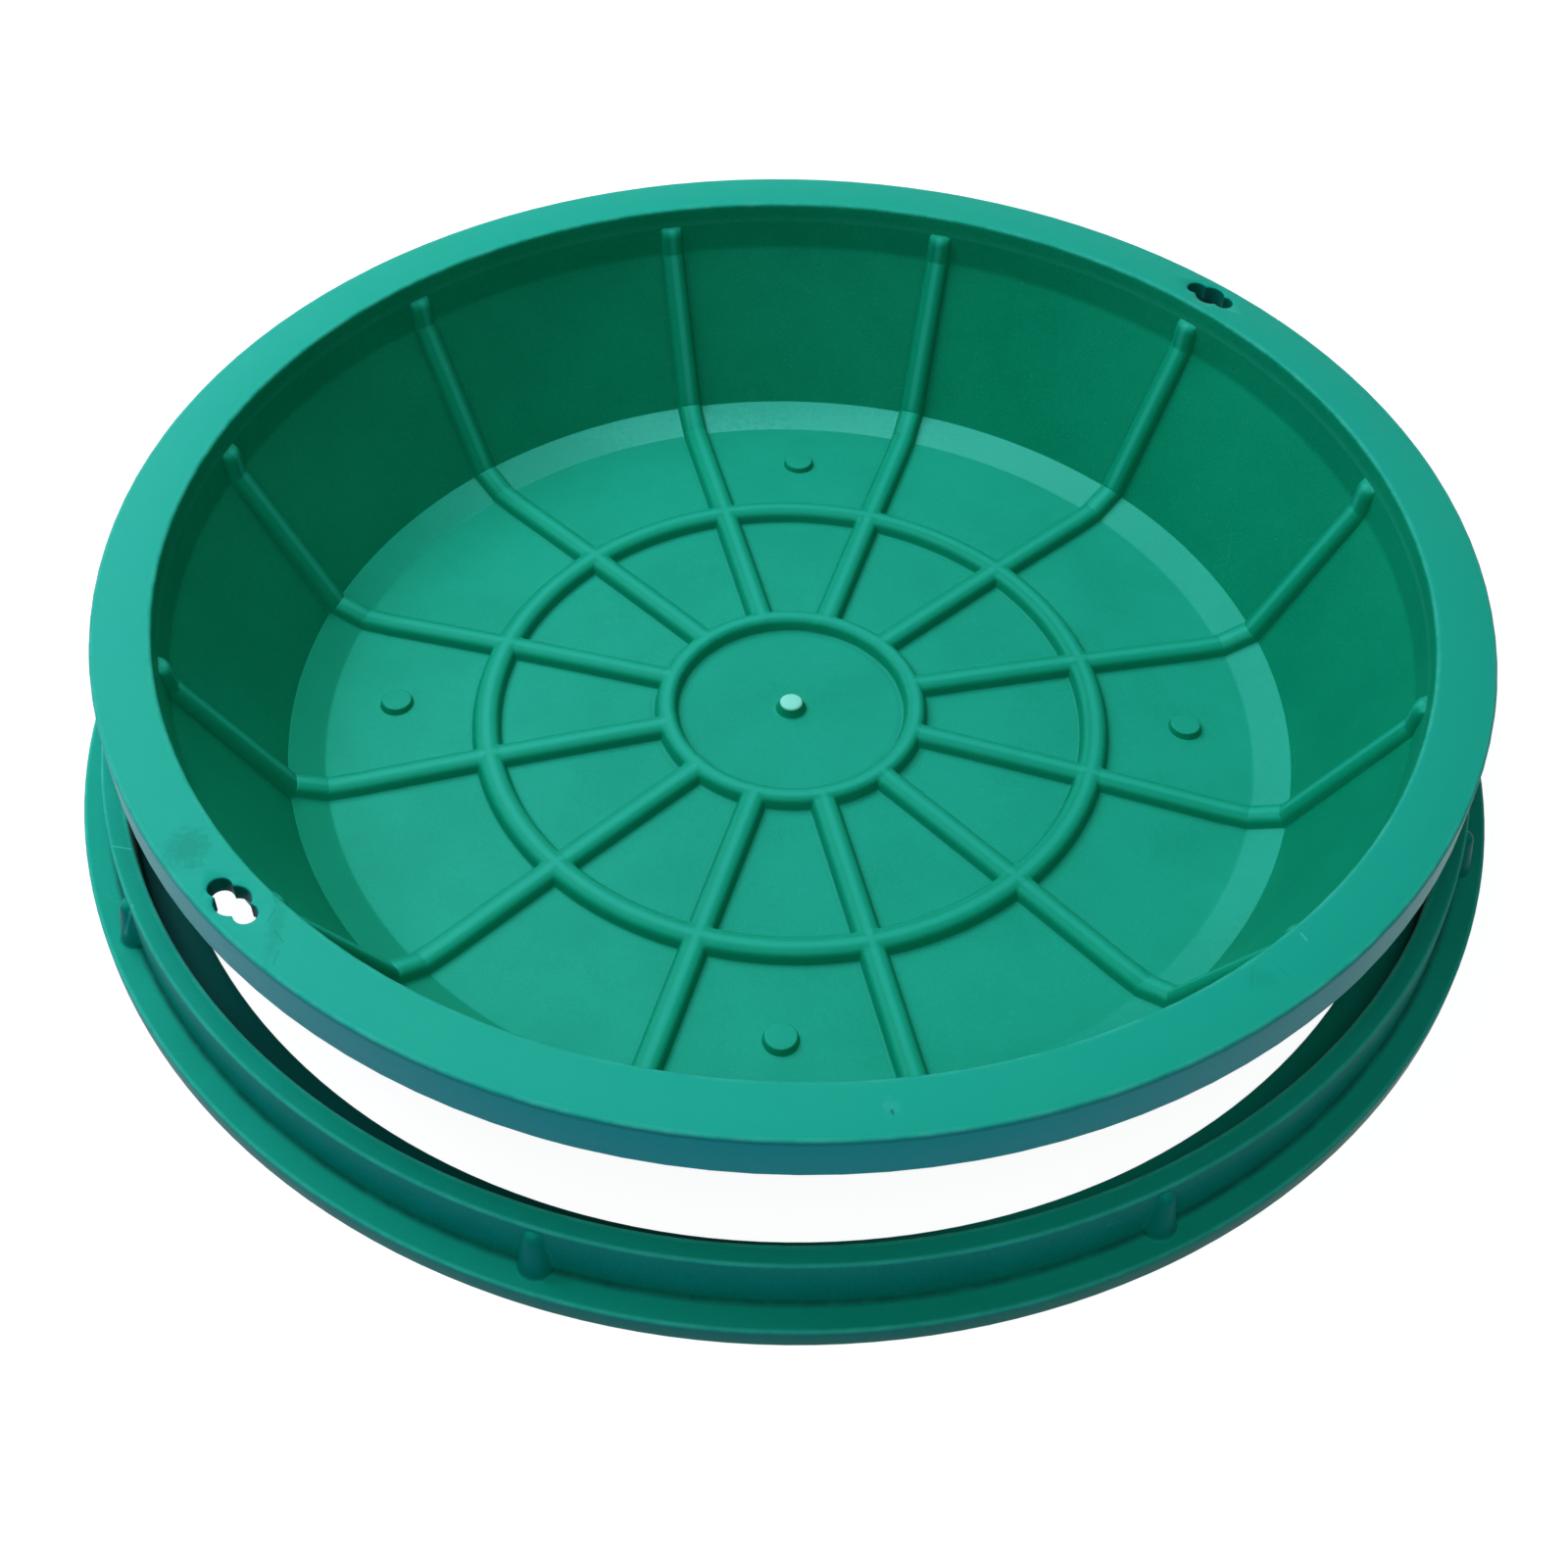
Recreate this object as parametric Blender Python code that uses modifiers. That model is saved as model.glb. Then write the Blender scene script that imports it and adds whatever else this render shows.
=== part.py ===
"""Septic tank cover: a ribbed basin cover and the frame ring it drops into.

Both pieces are green moulded composite. They stand on the same ground as a
loose pair: the basin on its own floor, in the middle of the ring.
Metres, +Z up. The origin is on the ground at the ring's centre.
"""
import math

import bmesh
import bpy
from mathutils import Matrix, Vector

MM = 0.001

# Frame ring, from the clear opening outwards
CLEAR_OPENING_RADIUS = 352.5 * MM
SEAT_WIDTH = 20 * MM
UPSTAND_THICKNESS = 12 * MM
FLANGE_WIDTH = 15.5 * MM
BASE_THICKNESS = 12 * MM
FRAME_HEIGHT = 44 * MM
UPSTAND_DRAFT = 0.6 * MM
FRAME_EDGE_ROUND = 1.8 * MM
UPSTAND_FOOT_FILLET = 2.2 * MM

# Gussets between the upstand and the base flange
GUSSET_COUNT = 8
GUSSET_FIRST_ANGLE = math.radians(28.6)
GUSSET_FOOT_RADIUS = 10 * MM
GUSSET_HEAD_RADIUS = 4.2 * MM
GUSSET_DROP = 3.2 * MM
GUSSET_HEAD_ROUND = 2 * MM

# Basin cover, from its rim down to its floor
COVER_CLEARANCE = 1 * MM
RIM_WIDTH = 31.2 * MM
RIM_THICKNESS = 9.5 * MM
RIM_OUTER_ROUND = 2 * MM
RIM_INNER_ROUND = 2.5 * MM
SKIRT_DEPTH = 26.5 * MM
SKIRT_THICKNESS = 5 * MM
SKIRT_FOOT_ROUND = 1 * MM
COLLAR_DEPTH = 30 * MM
COLLAR_DRAFT = 3.5 * MM
WALL_THICKNESS = 6.5 * MM
BASIN_DEPTH = 127.4 * MM
WALL_LEAN = 48.3 * MM
CHAMFER_HEIGHT = 8.2 * MM
CHAMFER_WIDTH = 19.8 * MM
FLOOR_THICKNESS = 6.6 * MM
FLOOR_FOOT_WIDTH = 18.7 * MM
FLOOR_CROWN = 7 * MM
BASIN_CORNER_ROUND = 9 * MM

# Ribs and bosses moulded on the basin's inside
RIB_COUNT = 12
RIB_FIRST_ANGLE = math.radians(15)
RIB_WIDTH = 16 * MM
RIB_HEIGHT = 7 * MM
RIB_ROOT = 2.5 * MM
RIB_HEAD_DROP = 12 * MM
RIB_HEAD_ROUND = 7 * MM
INNER_RING_RADIUS = 72.5 * MM
INNER_RING_WIDTH = 13.5 * MM
OUTER_RING_INSET = 73.5 * MM
OUTER_RING_WIDTH = 16.5 * MM
RING_RIB_HEIGHT = 7.4 * MM
BOSS_COUNT = 4
BOSS_INSET = 19.5 * MM
BOSS_FOOT_RADIUS = 10 * MM
BOSS_HEAD_RADIUS = 8.4 * MM
BOSS_HEIGHT = 3.8 * MM
BOSS_HEAD_ROUND = 1 * MM
CENTRE_BOSS_FOOT_RADIUS = 10 * MM
CENTRE_BOSS_HEAD_RADIUS = 6.3 * MM
CENTRE_BOSS_HEIGHT = 6 * MM
CENTRE_BOSS_HEAD_ROUND = 2 * MM

# Lifting holes through the rim: an eye with a lobe at each end
LIFT_HOLE_ANGLES = (math.radians(45), math.radians(224.7))
LIFT_HOLE_INSET = 14.5 * MM
LIFT_EYE_RADIUS = 8.7 * MM
LIFT_LOBE_RADIUS = 5.7 * MM
LIFT_LOBE_OFFSET = 10.5 * MM

# How the loose pair stands: the cover is a little off the ring's centre
COVER_SHIFT = (2.1 * MM, -4.2 * MM)

# Colours and roughness of the two moulding compounds
COVER_GREEN = (0.010, 0.31, 0.19)
COVER_ROUGHNESS = 0.42
FRAME_GREEN = (0.004, 0.215, 0.150)
FRAME_ROUGHNESS = 0.48

# How finely round forms are divided
TURN_STEPS = 60
ROUND_STEPS = 2
BUMP_STEPS = 6
DOME_ANGLES = [math.radians(angle) for angle in (0, 28, 56, 80)]
SHARP_ANGLE = math.radians(30)

# How far a cutter runs past what it cuts, and how close two points are made one
OVERCUT = 2 * MM
MERGE = 0.01 * MM

# Sizes that follow from those above
SEAT_RADIUS = CLEAR_OPENING_RADIUS + SEAT_WIDTH
UPSTAND_RADIUS = SEAT_RADIUS + UPSTAND_THICKNESS
FRAME_RADIUS = UPSTAND_RADIUS + FLANGE_WIDTH
COVER_RADIUS = SEAT_RADIUS - COVER_CLEARANCE
COVER_HEIGHT = BASIN_DEPTH + FLOOR_THICKNESS
RIM_INNER_RADIUS = COVER_RADIUS - RIM_WIDTH
COLLAR_FOOT_RADIUS = RIM_INNER_RADIUS - COLLAR_DRAFT
FLOOR_RADIUS = COLLAR_FOOT_RADIUS - WALL_LEAN - CHAMFER_WIDTH
CROWN_RADIUS = FLOOR_RADIUS - FLOOR_FOOT_WIDTH
BOSS_CIRCLE_RADIUS = CROWN_RADIUS - BOSS_INSET
OUTER_RING_RADIUS = CROWN_RADIUS - OUTER_RING_INSET


def clear_scene():
    """Remove every object of the open scene."""
    for obj in list(bpy.data.objects):
        bpy.data.objects.remove(obj, do_unlink=True)


def new_collection(name):
    """Make a collection in the scene."""
    collection = bpy.data.collections.new(name)
    bpy.context.scene.collection.children.link(collection)
    return collection


def moulded_material(name, colour, roughness):
    """A coloured moulding compound."""
    material = bpy.data.materials.new(name)
    material.use_nodes = True
    shader = material.node_tree.nodes["Principled BSDF"]
    shader.inputs["Base Color"].default_value = (*colour, 1)
    shader.inputs["Roughness"].default_value = roughness
    shader.inputs["Metallic"].default_value = 0
    return material


def rounded(corners, closed=False):
    """Turn corners (r, z, radius) into outline points, with an arc at each rounded corner.

    An arc is tangent to both sides of its corner, and never takes more than 45 % of a side.
    """
    points = []
    count = len(corners)
    for i, (r, z, radius) in enumerate(corners):
        corner = Vector((r, z))
        is_end = not closed and i in (0, count - 1)
        if radius == 0 or is_end:
            points.append(corner)
            continue
        before = Vector(corners[i - 1][:2]) - corner
        after = Vector(corners[(i + 1) % count][:2]) - corner
        half = before.angle(after) / 2
        reach = radius / math.tan(half)
        reach = min(reach, 0.45 * before.length, 0.45 * after.length)
        radius = reach * math.tan(half)
        centre = corner + (before.normalized() + after.normalized()).normalized() * radius / math.sin(half)
        start = corner + before.normalized() * reach - centre
        end = corner + after.normalized() * reach - centre
        sweep = start.angle_signed(end)
        for step in range(ROUND_STEPS + 1):
            turn = Matrix.Rotation(-sweep * step / ROUND_STEPS, 2)
            points.append(centre + turn @ start)
    return points


def offset_corners(corners, distance):
    """Move an open chain of (r, z) corners sideways by a distance, to the right of its direction."""
    lines = []
    for a, b in zip(corners, corners[1:]):
        along = (Vector(b) - Vector(a)).normalized()
        normal = Vector((along.y, -along.x))
        lines.append((Vector(a) + normal * distance, along))
    moved = [lines[0][0]]
    for (p, u), (q, v) in zip(lines, lines[1:]):
        travel = (q - p).cross(v) / u.cross(v)
        moved.append(p + u * travel)
    p, u = lines[-1]
    moved.append(p + u * (Vector(corners[-1]) - Vector(corners[-2])).length)
    return moved


def crown(r):
    """Height of the crowned floor above its flat edge at radius r."""
    return FLOOR_CROWN * (1 - min(r / CROWN_RADIUS, 1) ** 2)


def floor_top(r):
    """Height of the floor's upper side at radius r."""
    return FLOOR_THICKNESS + crown(r)


def plain_radii():
    """Radii halfway across the floor's two plain stretches, between and beyond the ring ribs."""
    inner_end = OUTER_RING_RADIUS + OUTER_RING_WIDTH / 2
    return (INNER_RING_RADIUS + OUTER_RING_RADIUS) / 2, (inner_end + CROWN_RADIUS) / 2


def basin_corners():
    """Corners (r, z) of the basin's inside, from the floor's flat edge up to the rim."""
    return [
        (CROWN_RADIUS, FLOOR_THICKNESS),
        (FLOOR_RADIUS, FLOOR_THICKNESS),
        (FLOOR_RADIUS + CHAMFER_WIDTH, FLOOR_THICKNESS + CHAMFER_HEIGHT),
        (COLLAR_FOOT_RADIUS, COVER_HEIGHT - COLLAR_DEPTH),
        (RIM_INNER_RADIUS, COVER_HEIGHT),
    ]


def ring_rib(radius, width):
    """Points of a half-round ring rib that stands on the crowned floor."""
    points = []
    for step in range(BUMP_STEPS + 1):
        angle = math.pi * step / BUMP_STEPS
        r = radius - width / 2 * math.cos(angle)
        points.append(Vector((r, floor_top(r) + RING_RIB_HEIGHT * math.sin(angle))))
    return points


def floor_inside():
    """Points of the floor's upper side, from the axis to its flat edge, with the ring ribs."""
    head_z = floor_top(0) + CENTRE_BOSS_HEIGHT
    corners = [
        (0, head_z, 0),
        (CENTRE_BOSS_HEAD_RADIUS, head_z, CENTRE_BOSS_HEAD_ROUND),
        (CENTRE_BOSS_FOOT_RADIUS, floor_top(CENTRE_BOSS_FOOT_RADIUS), 0),
    ]
    between, beyond = plain_radii()
    points = rounded(corners)
    points += ring_rib(INNER_RING_RADIUS, INNER_RING_WIDTH)
    points.append(Vector((between, floor_top(between))))
    points += ring_rib(OUTER_RING_RADIUS, OUTER_RING_WIDTH)
    points.append(Vector((beyond, floor_top(beyond))))
    return points


def cover_outline():
    """The turned section of the cover, from the axis over its inside and rim to its underside."""
    inside = basin_corners()
    rounds = (0, BASIN_CORNER_ROUND, BASIN_CORNER_ROUND, BASIN_CORNER_ROUND, RIM_INNER_ROUND)
    top = [(r, z, radius) for (r, z), radius in zip(inside, rounds)]
    skirt_inner = COVER_RADIUS - SKIRT_THICKNESS
    foot_z = COVER_HEIGHT - SKIRT_DEPTH
    plate_z = COVER_HEIGHT - RIM_THICKNESS
    outside = offset_corners(inside[1:], WALL_THICKNESS)
    collar_foot, collar_head = outside[-2], outside[-1]
    share = (plate_z - collar_foot.y) / (collar_head.y - collar_foot.y)
    collar_top = collar_foot.lerp(collar_head, share)
    chamfer_foot, wall_foot = outside[0], outside[1]
    along = (wall_foot - chamfer_foot).normalized()
    floor_edge = chamfer_foot - along * (chamfer_foot.y / along.y)
    top += [
        (COVER_RADIUS, COVER_HEIGHT, RIM_OUTER_ROUND),
        (COVER_RADIUS, foot_z, SKIRT_FOOT_ROUND),
        (skirt_inner, foot_z, 0),
        (skirt_inner, plate_z, 0),
        (collar_top.x, collar_top.y, 0),
        (collar_foot.x, collar_foot.y, 0),
        (wall_foot.x, wall_foot.y, 0),
        (floor_edge.x, 0, 0),
        (CROWN_RADIUS, 0, 0),
    ]
    between, beyond = plain_radii()
    points = floor_inside() + rounded(top)
    for r in (beyond, between, 0):
        points.append(Vector((r, crown(r))))
    return points


def frame_outline():
    """The closed section of the frame ring: base flange, seat ledge and upstand."""
    corners = [
        (FRAME_RADIUS, BASE_THICKNESS, FRAME_EDGE_ROUND),
        (FRAME_RADIUS, 0, 0),
        (CLEAR_OPENING_RADIUS, 0, 0),
        (CLEAR_OPENING_RADIUS, BASE_THICKNESS, FRAME_EDGE_ROUND),
        (SEAT_RADIUS, BASE_THICKNESS, UPSTAND_FOOT_FILLET),
        (SEAT_RADIUS, FRAME_HEIGHT, FRAME_EDGE_ROUND),
        (UPSTAND_RADIUS - UPSTAND_DRAFT, FRAME_HEIGHT, FRAME_EDGE_ROUND),
        (UPSTAND_RADIUS, BASE_THICKNESS, UPSTAND_FOOT_FILLET),
    ]
    return rounded(corners, closed=True)


def turned(name, outline, closed, collection):
    """Turn an outline of (r, z) points about the Z axis into a solid."""
    mesh = bpy.data.meshes.new(name)
    count = len(outline)
    edges = [(i, i + 1) for i in range(count - 1)]
    if closed:
        edges.append((count - 1, 0))
    mesh.from_pydata([(p.x, 0, p.y) for p in outline], edges, [])
    obj = bpy.data.objects.new(name, mesh)
    collection.objects.link(obj)
    screw = obj.modifiers.new("turn", "SCREW")
    screw.axis = "Z"
    screw.angle = math.tau
    screw.steps = TURN_STEPS
    screw.render_steps = TURN_STEPS
    screw.use_merge_vertices = True
    screw.merge_threshold = MERGE
    return obj


def tool_object(name, mesh, collection):
    """Link a mesh that is only joined to a part or cut out of it."""
    obj = bpy.data.objects.new(name, mesh)
    obj.hide_render = True
    obj.display_type = "WIRE"
    collection.objects.link(obj)
    return obj


def half_round_section(collection):
    """A closed half-ellipse, with a root that lies inside the wall, as a rib's section."""
    points = []
    for step in range(BUMP_STEPS + 1):
        angle = math.pi * step / BUMP_STEPS
        points.append((RIB_WIDTH / 2 * math.cos(angle), RIB_HEIGHT * math.sin(angle)))
    points += [(-RIB_WIDTH / 2, -RIB_ROOT), (RIB_WIDTH / 2, -RIB_ROOT)]
    curve = bpy.data.curves.new("rib_section", "CURVE")
    curve.dimensions = "2D"
    spline = curve.splines.new("POLY")
    spline.points.add(len(points) - 1)
    for point, (x, y) in zip(spline.points, points):
        point.co = (x, y, 0, 1)
    spline.use_cyclic_u = True
    return tool_object("rib_section", curve, collection)


def rib_path():
    """Points (r, z) of one rib along floor, chamfer, wall and collar, with the section's size at each.

    At the head the size falls off as a quarter circle, so that the rib ends in a dome.
    """
    corners = basin_corners()
    collar_foot, collar_head = Vector(corners[-2]), Vector(corners[-1])
    head = collar_foot.lerp(collar_head, 1 - RIB_HEAD_DROP / COLLAR_DEPTH)
    chain = [(r, z, BASIN_CORNER_ROUND) for r, z in corners[:-1]]
    chain[0] = (*corners[0], 0)
    chain.append((head.x, head.y, 0))
    between, beyond = plain_radii()
    start = (INNER_RING_RADIUS, between, OUTER_RING_RADIUS, beyond)
    body = [Vector((r, floor_top(r))) for r in start] + rounded(chain)[:-1]
    upwards = (collar_head - collar_foot).normalized()
    dome = [head - upwards * RIB_HEAD_ROUND * (1 - math.sin(angle)) for angle in DOME_ANGLES]
    sizes = [1] * len(body) + [math.cos(angle) for angle in DOME_ANGLES]
    return list(zip(body + dome, sizes))


def rib_mesh(section):
    """Sweep the half-round section along the rib's path, as a closed mesh at azimuth 0."""
    path = rib_path()
    curve = bpy.data.curves.new("rib_path", "CURVE")
    curve.dimensions = "3D"
    curve.twist_mode = "Z_UP"
    spline = curve.splines.new("POLY")
    spline.points.add(len(path) - 1)
    for point, (place, size) in zip(spline.points, path):
        point.co = (place.x, 0, place.y, 1)
        point.radius = size
    curve.bevel_mode = "OBJECT"
    curve.bevel_object = section
    curve.use_fill_caps = True
    carrier = bpy.data.objects.new("rib_path", curve)
    bpy.context.scene.collection.objects.link(carrier)
    depsgraph = bpy.context.evaluated_depsgraph_get()
    mesh = bpy.data.meshes.new_from_object(carrier.evaluated_get(depsgraph))
    bpy.data.objects.remove(carrier)
    shape = bmesh.new()
    shape.from_mesh(mesh)
    bmesh.ops.remove_doubles(shape, verts=shape.verts, dist=MERGE)
    bmesh.ops.recalc_face_normals(shape, faces=shape.faces)
    shape.to_mesh(mesh)
    shape.free()
    return mesh


def copies_about_axis(name, mesh, angles, collection):
    """One tool object that holds a mesh turned about Z to each of the angles."""
    shape = bmesh.new()
    for angle in angles:
        before = set(shape.verts)
        shape.from_mesh(mesh)
        fresh = [vert for vert in shape.verts if vert not in before]
        bmesh.ops.rotate(shape, verts=fresh, matrix=Matrix.Rotation(angle, 3, "Z"))
    joined = bpy.data.meshes.new(name)
    shape.to_mesh(joined)
    shape.free()
    return tool_object(name, joined, collection)


def tapered_stud(name, place, foot_radius, head_radius, low, high, head_round, sides):
    """A vertical cone frustum at a place (x, y), from height low to high, with a rounded head."""
    shape = bmesh.new()
    bmesh.ops.create_cone(
        shape, cap_ends=True, segments=sides, radius1=foot_radius, radius2=head_radius, depth=high - low
    )
    head = [edge for edge in shape.edges if all(vert.co.z > 0 for vert in edge.verts)]
    bmesh.ops.bevel(shape, geom=head, offset=head_round, segments=2, profile=0.5, affect="EDGES")
    bmesh.ops.translate(shape, verts=shape.verts, vec=(*place, (low + high) / 2))
    mesh = bpy.data.meshes.new(name)
    shape.to_mesh(mesh)
    shape.free()
    return mesh


def lobed_outline():
    """Points of the lifting hole: an eye circle with a lobe circle at each end.

    The circles meet where their distance from the eye's centre and the lobe's centre fit,
    which gives the half angles that each arc keeps.
    """
    eye, lobe, reach = LIFT_EYE_RADIUS, LIFT_LOBE_RADIUS, LIFT_LOBE_OFFSET
    eye_half = math.acos((eye**2 + reach**2 - lobe**2) / (2 * eye * reach))
    lobe_half = math.pi - math.acos((lobe**2 + reach**2 - eye**2) / (2 * lobe * reach))
    steps = 2 * BUMP_STEPS
    points = []
    for side in (0, math.pi):
        centre = Vector((0, reach)) if side == 0 else Vector((0, -reach))
        for step in range(steps + 1):
            angle = side + math.pi / 2 - lobe_half + 2 * lobe_half * step / steps
            points.append(centre + Vector((math.cos(angle), math.sin(angle))) * lobe)
        for step in range(1, steps):
            start = side + math.pi / 2 + eye_half
            angle = start + (math.pi - 2 * eye_half) * step / steps
            points.append(Vector((math.cos(angle), math.sin(angle))) * eye)
    return points


def lifting_hole_mesh():
    """A prism of the lifting hole's outline through the rim plate, at azimuth 0."""
    shape = bmesh.new()
    centre_r = COVER_RADIUS - LIFT_HOLE_INSET
    low = COVER_HEIGHT - RIM_THICKNESS - OVERCUT
    verts = [shape.verts.new((centre_r + p.x, p.y, low)) for p in lobed_outline()]
    face = shape.faces.new(verts)
    raised = bmesh.ops.extrude_face_region(shape, geom=[face])["geom"]
    top = [item for item in raised if isinstance(item, bmesh.types.BMVert)]
    bmesh.ops.translate(shape, verts=top, vec=(0, 0, RIM_THICKNESS + 2 * OVERCUT))
    bmesh.ops.recalc_face_normals(shape, faces=shape.faces)
    mesh = bpy.data.meshes.new("lifting_hole")
    shape.to_mesh(mesh)
    shape.free()
    return mesh


def add_boolean(obj, tool, operation):
    """Join a tool's solid to the part or cut it out."""
    boolean = obj.modifiers.new(tool.name, "BOOLEAN")
    boolean.solver = "EXACT"
    boolean.operation = operation
    boolean.object = tool


def finish(obj, material):
    """Keep the evaluated solid as the object's own mesh, shade it and give it its material."""
    depsgraph = bpy.context.evaluated_depsgraph_get()
    mesh = bpy.data.meshes.new_from_object(obj.evaluated_get(depsgraph))
    shape = bmesh.new()
    shape.from_mesh(mesh)
    bmesh.ops.remove_doubles(shape, verts=shape.verts, dist=MERGE)
    bmesh.ops.dissolve_degenerate(shape, edges=shape.edges, dist=MERGE)
    shape.to_mesh(mesh)
    shape.free()
    obj.modifiers.clear()
    obj.data = mesh
    mesh.name = obj.name
    mesh.materials.clear()
    mesh.materials.append(material)
    mesh.shade_smooth()
    mesh.set_sharp_from_angle(angle=SHARP_ANGLE)


def angles_around(first, count):
    """Evenly spaced azimuths from a first one."""
    return [first + math.tau * i / count for i in range(count)]


def make_frame_ring(parts, tools, material):
    """The ring that is set in the ground: a turned section with gussets on its outer side."""
    ring = turned("frame_ring", frame_outline(), True, parts)
    stud = tapered_stud(
        "gusset",
        (UPSTAND_RADIUS - UPSTAND_DRAFT, 0),
        GUSSET_FOOT_RADIUS,
        GUSSET_HEAD_RADIUS,
        BASE_THICKNESS / 2,
        FRAME_HEIGHT - GUSSET_DROP,
        GUSSET_HEAD_ROUND,
        2 * BUMP_STEPS,
    )
    gussets = copies_about_axis("gussets", stud, angles_around(GUSSET_FIRST_ANGLE, GUSSET_COUNT), tools)
    add_boolean(ring, gussets, "UNION")
    finish(ring, material)
    return ring


def make_cover_basin(parts, tools, material):
    """The basin cover: a turned shell with ribs and bosses inside and two lifting holes."""
    cover = turned("cover_basin", cover_outline(), False, parts)
    rib = rib_mesh(half_round_section(tools))
    ribs = copies_about_axis("ribs", rib, angles_around(RIB_FIRST_ANGLE, RIB_COUNT), tools)
    add_boolean(cover, ribs, "UNION")
    floor_z = floor_top(BOSS_CIRCLE_RADIUS)
    stud = tapered_stud(
        "boss",
        (BOSS_CIRCLE_RADIUS, 0),
        BOSS_FOOT_RADIUS,
        BOSS_HEAD_RADIUS,
        floor_z - FLOOR_THICKNESS / 2,
        floor_z + BOSS_HEIGHT,
        BOSS_HEAD_ROUND,
        4 * BUMP_STEPS,
    )
    bosses = copies_about_axis("bosses", stud, angles_around(0, BOSS_COUNT), tools)
    add_boolean(cover, bosses, "UNION")
    holes = copies_about_axis("lifting_holes", lifting_hole_mesh(), LIFT_HOLE_ANGLES, tools)
    add_boolean(cover, holes, "DIFFERENCE")
    finish(cover, material)
    cover.location = (*COVER_SHIFT, 0)
    return cover


def main():
    clear_scene()
    parts = new_collection("septic_tank_cover")
    tools = new_collection("tools")
    cover_green = moulded_material("cover_green", COVER_GREEN, COVER_ROUGHNESS)
    frame_green = moulded_material("frame_green", FRAME_GREEN, FRAME_ROUGHNESS)
    make_frame_ring(parts, tools, frame_green)
    make_cover_basin(parts, tools, cover_green)


main()
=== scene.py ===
# %% [markdown]
# A septic tank cover stands here as a loose pair: a deep green basin with ribs inside, and the
# frame ring that it drops into. Both are mouldings of glass-fibre compound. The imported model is
# loaded first. It is the frame for everything below, so no piece needs fitting: every point is in
# metres, with +Z up and the origin on the ground in the middle of the ring.

# %% Load the frame
import math

import bmesh
import bpy
import numpy as np
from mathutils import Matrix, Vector


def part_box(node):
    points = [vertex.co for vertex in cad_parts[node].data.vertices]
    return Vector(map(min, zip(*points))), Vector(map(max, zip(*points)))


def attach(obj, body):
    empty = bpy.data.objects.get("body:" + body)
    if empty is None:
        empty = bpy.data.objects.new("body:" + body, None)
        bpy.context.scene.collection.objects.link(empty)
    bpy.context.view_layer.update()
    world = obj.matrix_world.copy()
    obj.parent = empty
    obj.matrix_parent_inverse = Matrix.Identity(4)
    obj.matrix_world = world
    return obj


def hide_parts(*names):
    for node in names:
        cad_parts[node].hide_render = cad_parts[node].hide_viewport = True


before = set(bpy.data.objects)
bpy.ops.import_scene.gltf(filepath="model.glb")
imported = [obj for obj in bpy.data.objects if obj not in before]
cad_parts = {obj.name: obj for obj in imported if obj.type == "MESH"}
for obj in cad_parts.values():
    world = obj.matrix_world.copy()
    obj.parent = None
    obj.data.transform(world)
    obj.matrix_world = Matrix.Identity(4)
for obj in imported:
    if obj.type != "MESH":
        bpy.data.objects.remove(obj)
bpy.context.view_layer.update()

print("nodes:", sorted(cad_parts))

# %% [markdown]
# The overall sizes come from the solids, and only the sizes that the solids don't tell as a box
# are named here, in millimetres. The cover stands a little off the ring's centre, so its own axis
# is the middle of its box.

# %% Read the overall sizes from the solids
MM = 0.001
cover_low, cover_high = (np.array(corner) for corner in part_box("cover_basin"))
ring_low, ring_high = (np.array(corner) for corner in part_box("frame_ring"))
COVER_AXIS = (cover_low[:2] + cover_high[:2]) / 2
COVER_RADIUS = (cover_high[0] - cover_low[0]) / 2
COVER_HEIGHT = cover_high[2]
RING_RADIUS = (ring_high[0] - ring_low[0]) / 2
RING_HEIGHT = ring_high[2]
print("cover: %.1f mm across, %.1f mm high" % (2 * COVER_RADIUS / MM, COVER_HEIGHT / MM))
print("ring: %.1f mm across, %.1f mm high" % (2 * RING_RADIUS / MM, RING_HEIGHT / MM))

# %% [markdown]
# A moulding has no sharp edge: the tool is rounded so that the compound flows. So every section
# below is a chain of straight sides with an arc at each corner. Writing the corners and their
# radii is what a draughtsman does, and numpy works the arcs out. A bevel modifier would round the
# edges too, but it would not know which edge has which radius.

# %% Sections as chains of rounded corners
ARC_STEP = math.radians(15)


def unit(vector):
    """The vector divided by its length."""
    return vector / np.linalg.norm(vector)


def corner_arc(before, corner, after, radius):
    """Points of the arc that is tangent to both sides of a corner.

    With the half angle a between the sides, the arc starts radius / tan(a) before the corner,
    and its centre lies radius / sin(a) away along the bisector.
    """
    u = unit(before - corner)
    v = unit(after - corner)
    half = math.acos(np.clip(u @ v, -1, 1)) / 2
    centre = corner + unit(u + v) * radius / math.sin(half)
    start = corner + u * radius / math.tan(half) - centre
    sweep = (math.pi - 2 * half) * np.sign(u[1] * v[0] - u[0] * v[1])
    count = 2 * math.ceil(abs(sweep) / (2 * ARC_STEP))
    turn = np.linspace(0, sweep, count + 1)
    x = np.cos(turn) * start[0] - np.sin(turn) * start[1]
    y = np.sin(turn) * start[0] + np.cos(turn) * start[1]
    return centre + np.stack([x, y], axis=1)


def rounded_chain(corners):
    """Points of an open chain of corners (r, z, radius). The two ends stay as they are."""
    places = np.array([corner[:2] for corner in corners], float)
    pieces = [places[:1]]
    for i in range(1, len(corners) - 1):
        radius = corners[i][2]
        if radius == 0:
            pieces.append(places[i : i + 1])
        else:
            pieces.append(corner_arc(places[i - 1], places[i], places[i + 1], radius))
    pieces.append(places[-1:])
    return np.concatenate(pieces)


def lengths_along(points):
    """Distance of each point from the first one, measured along the chain."""
    steps = np.linalg.norm(np.diff(points, axis=0), axis=1)
    return np.concatenate([[0], np.cumsum(steps)])


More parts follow.
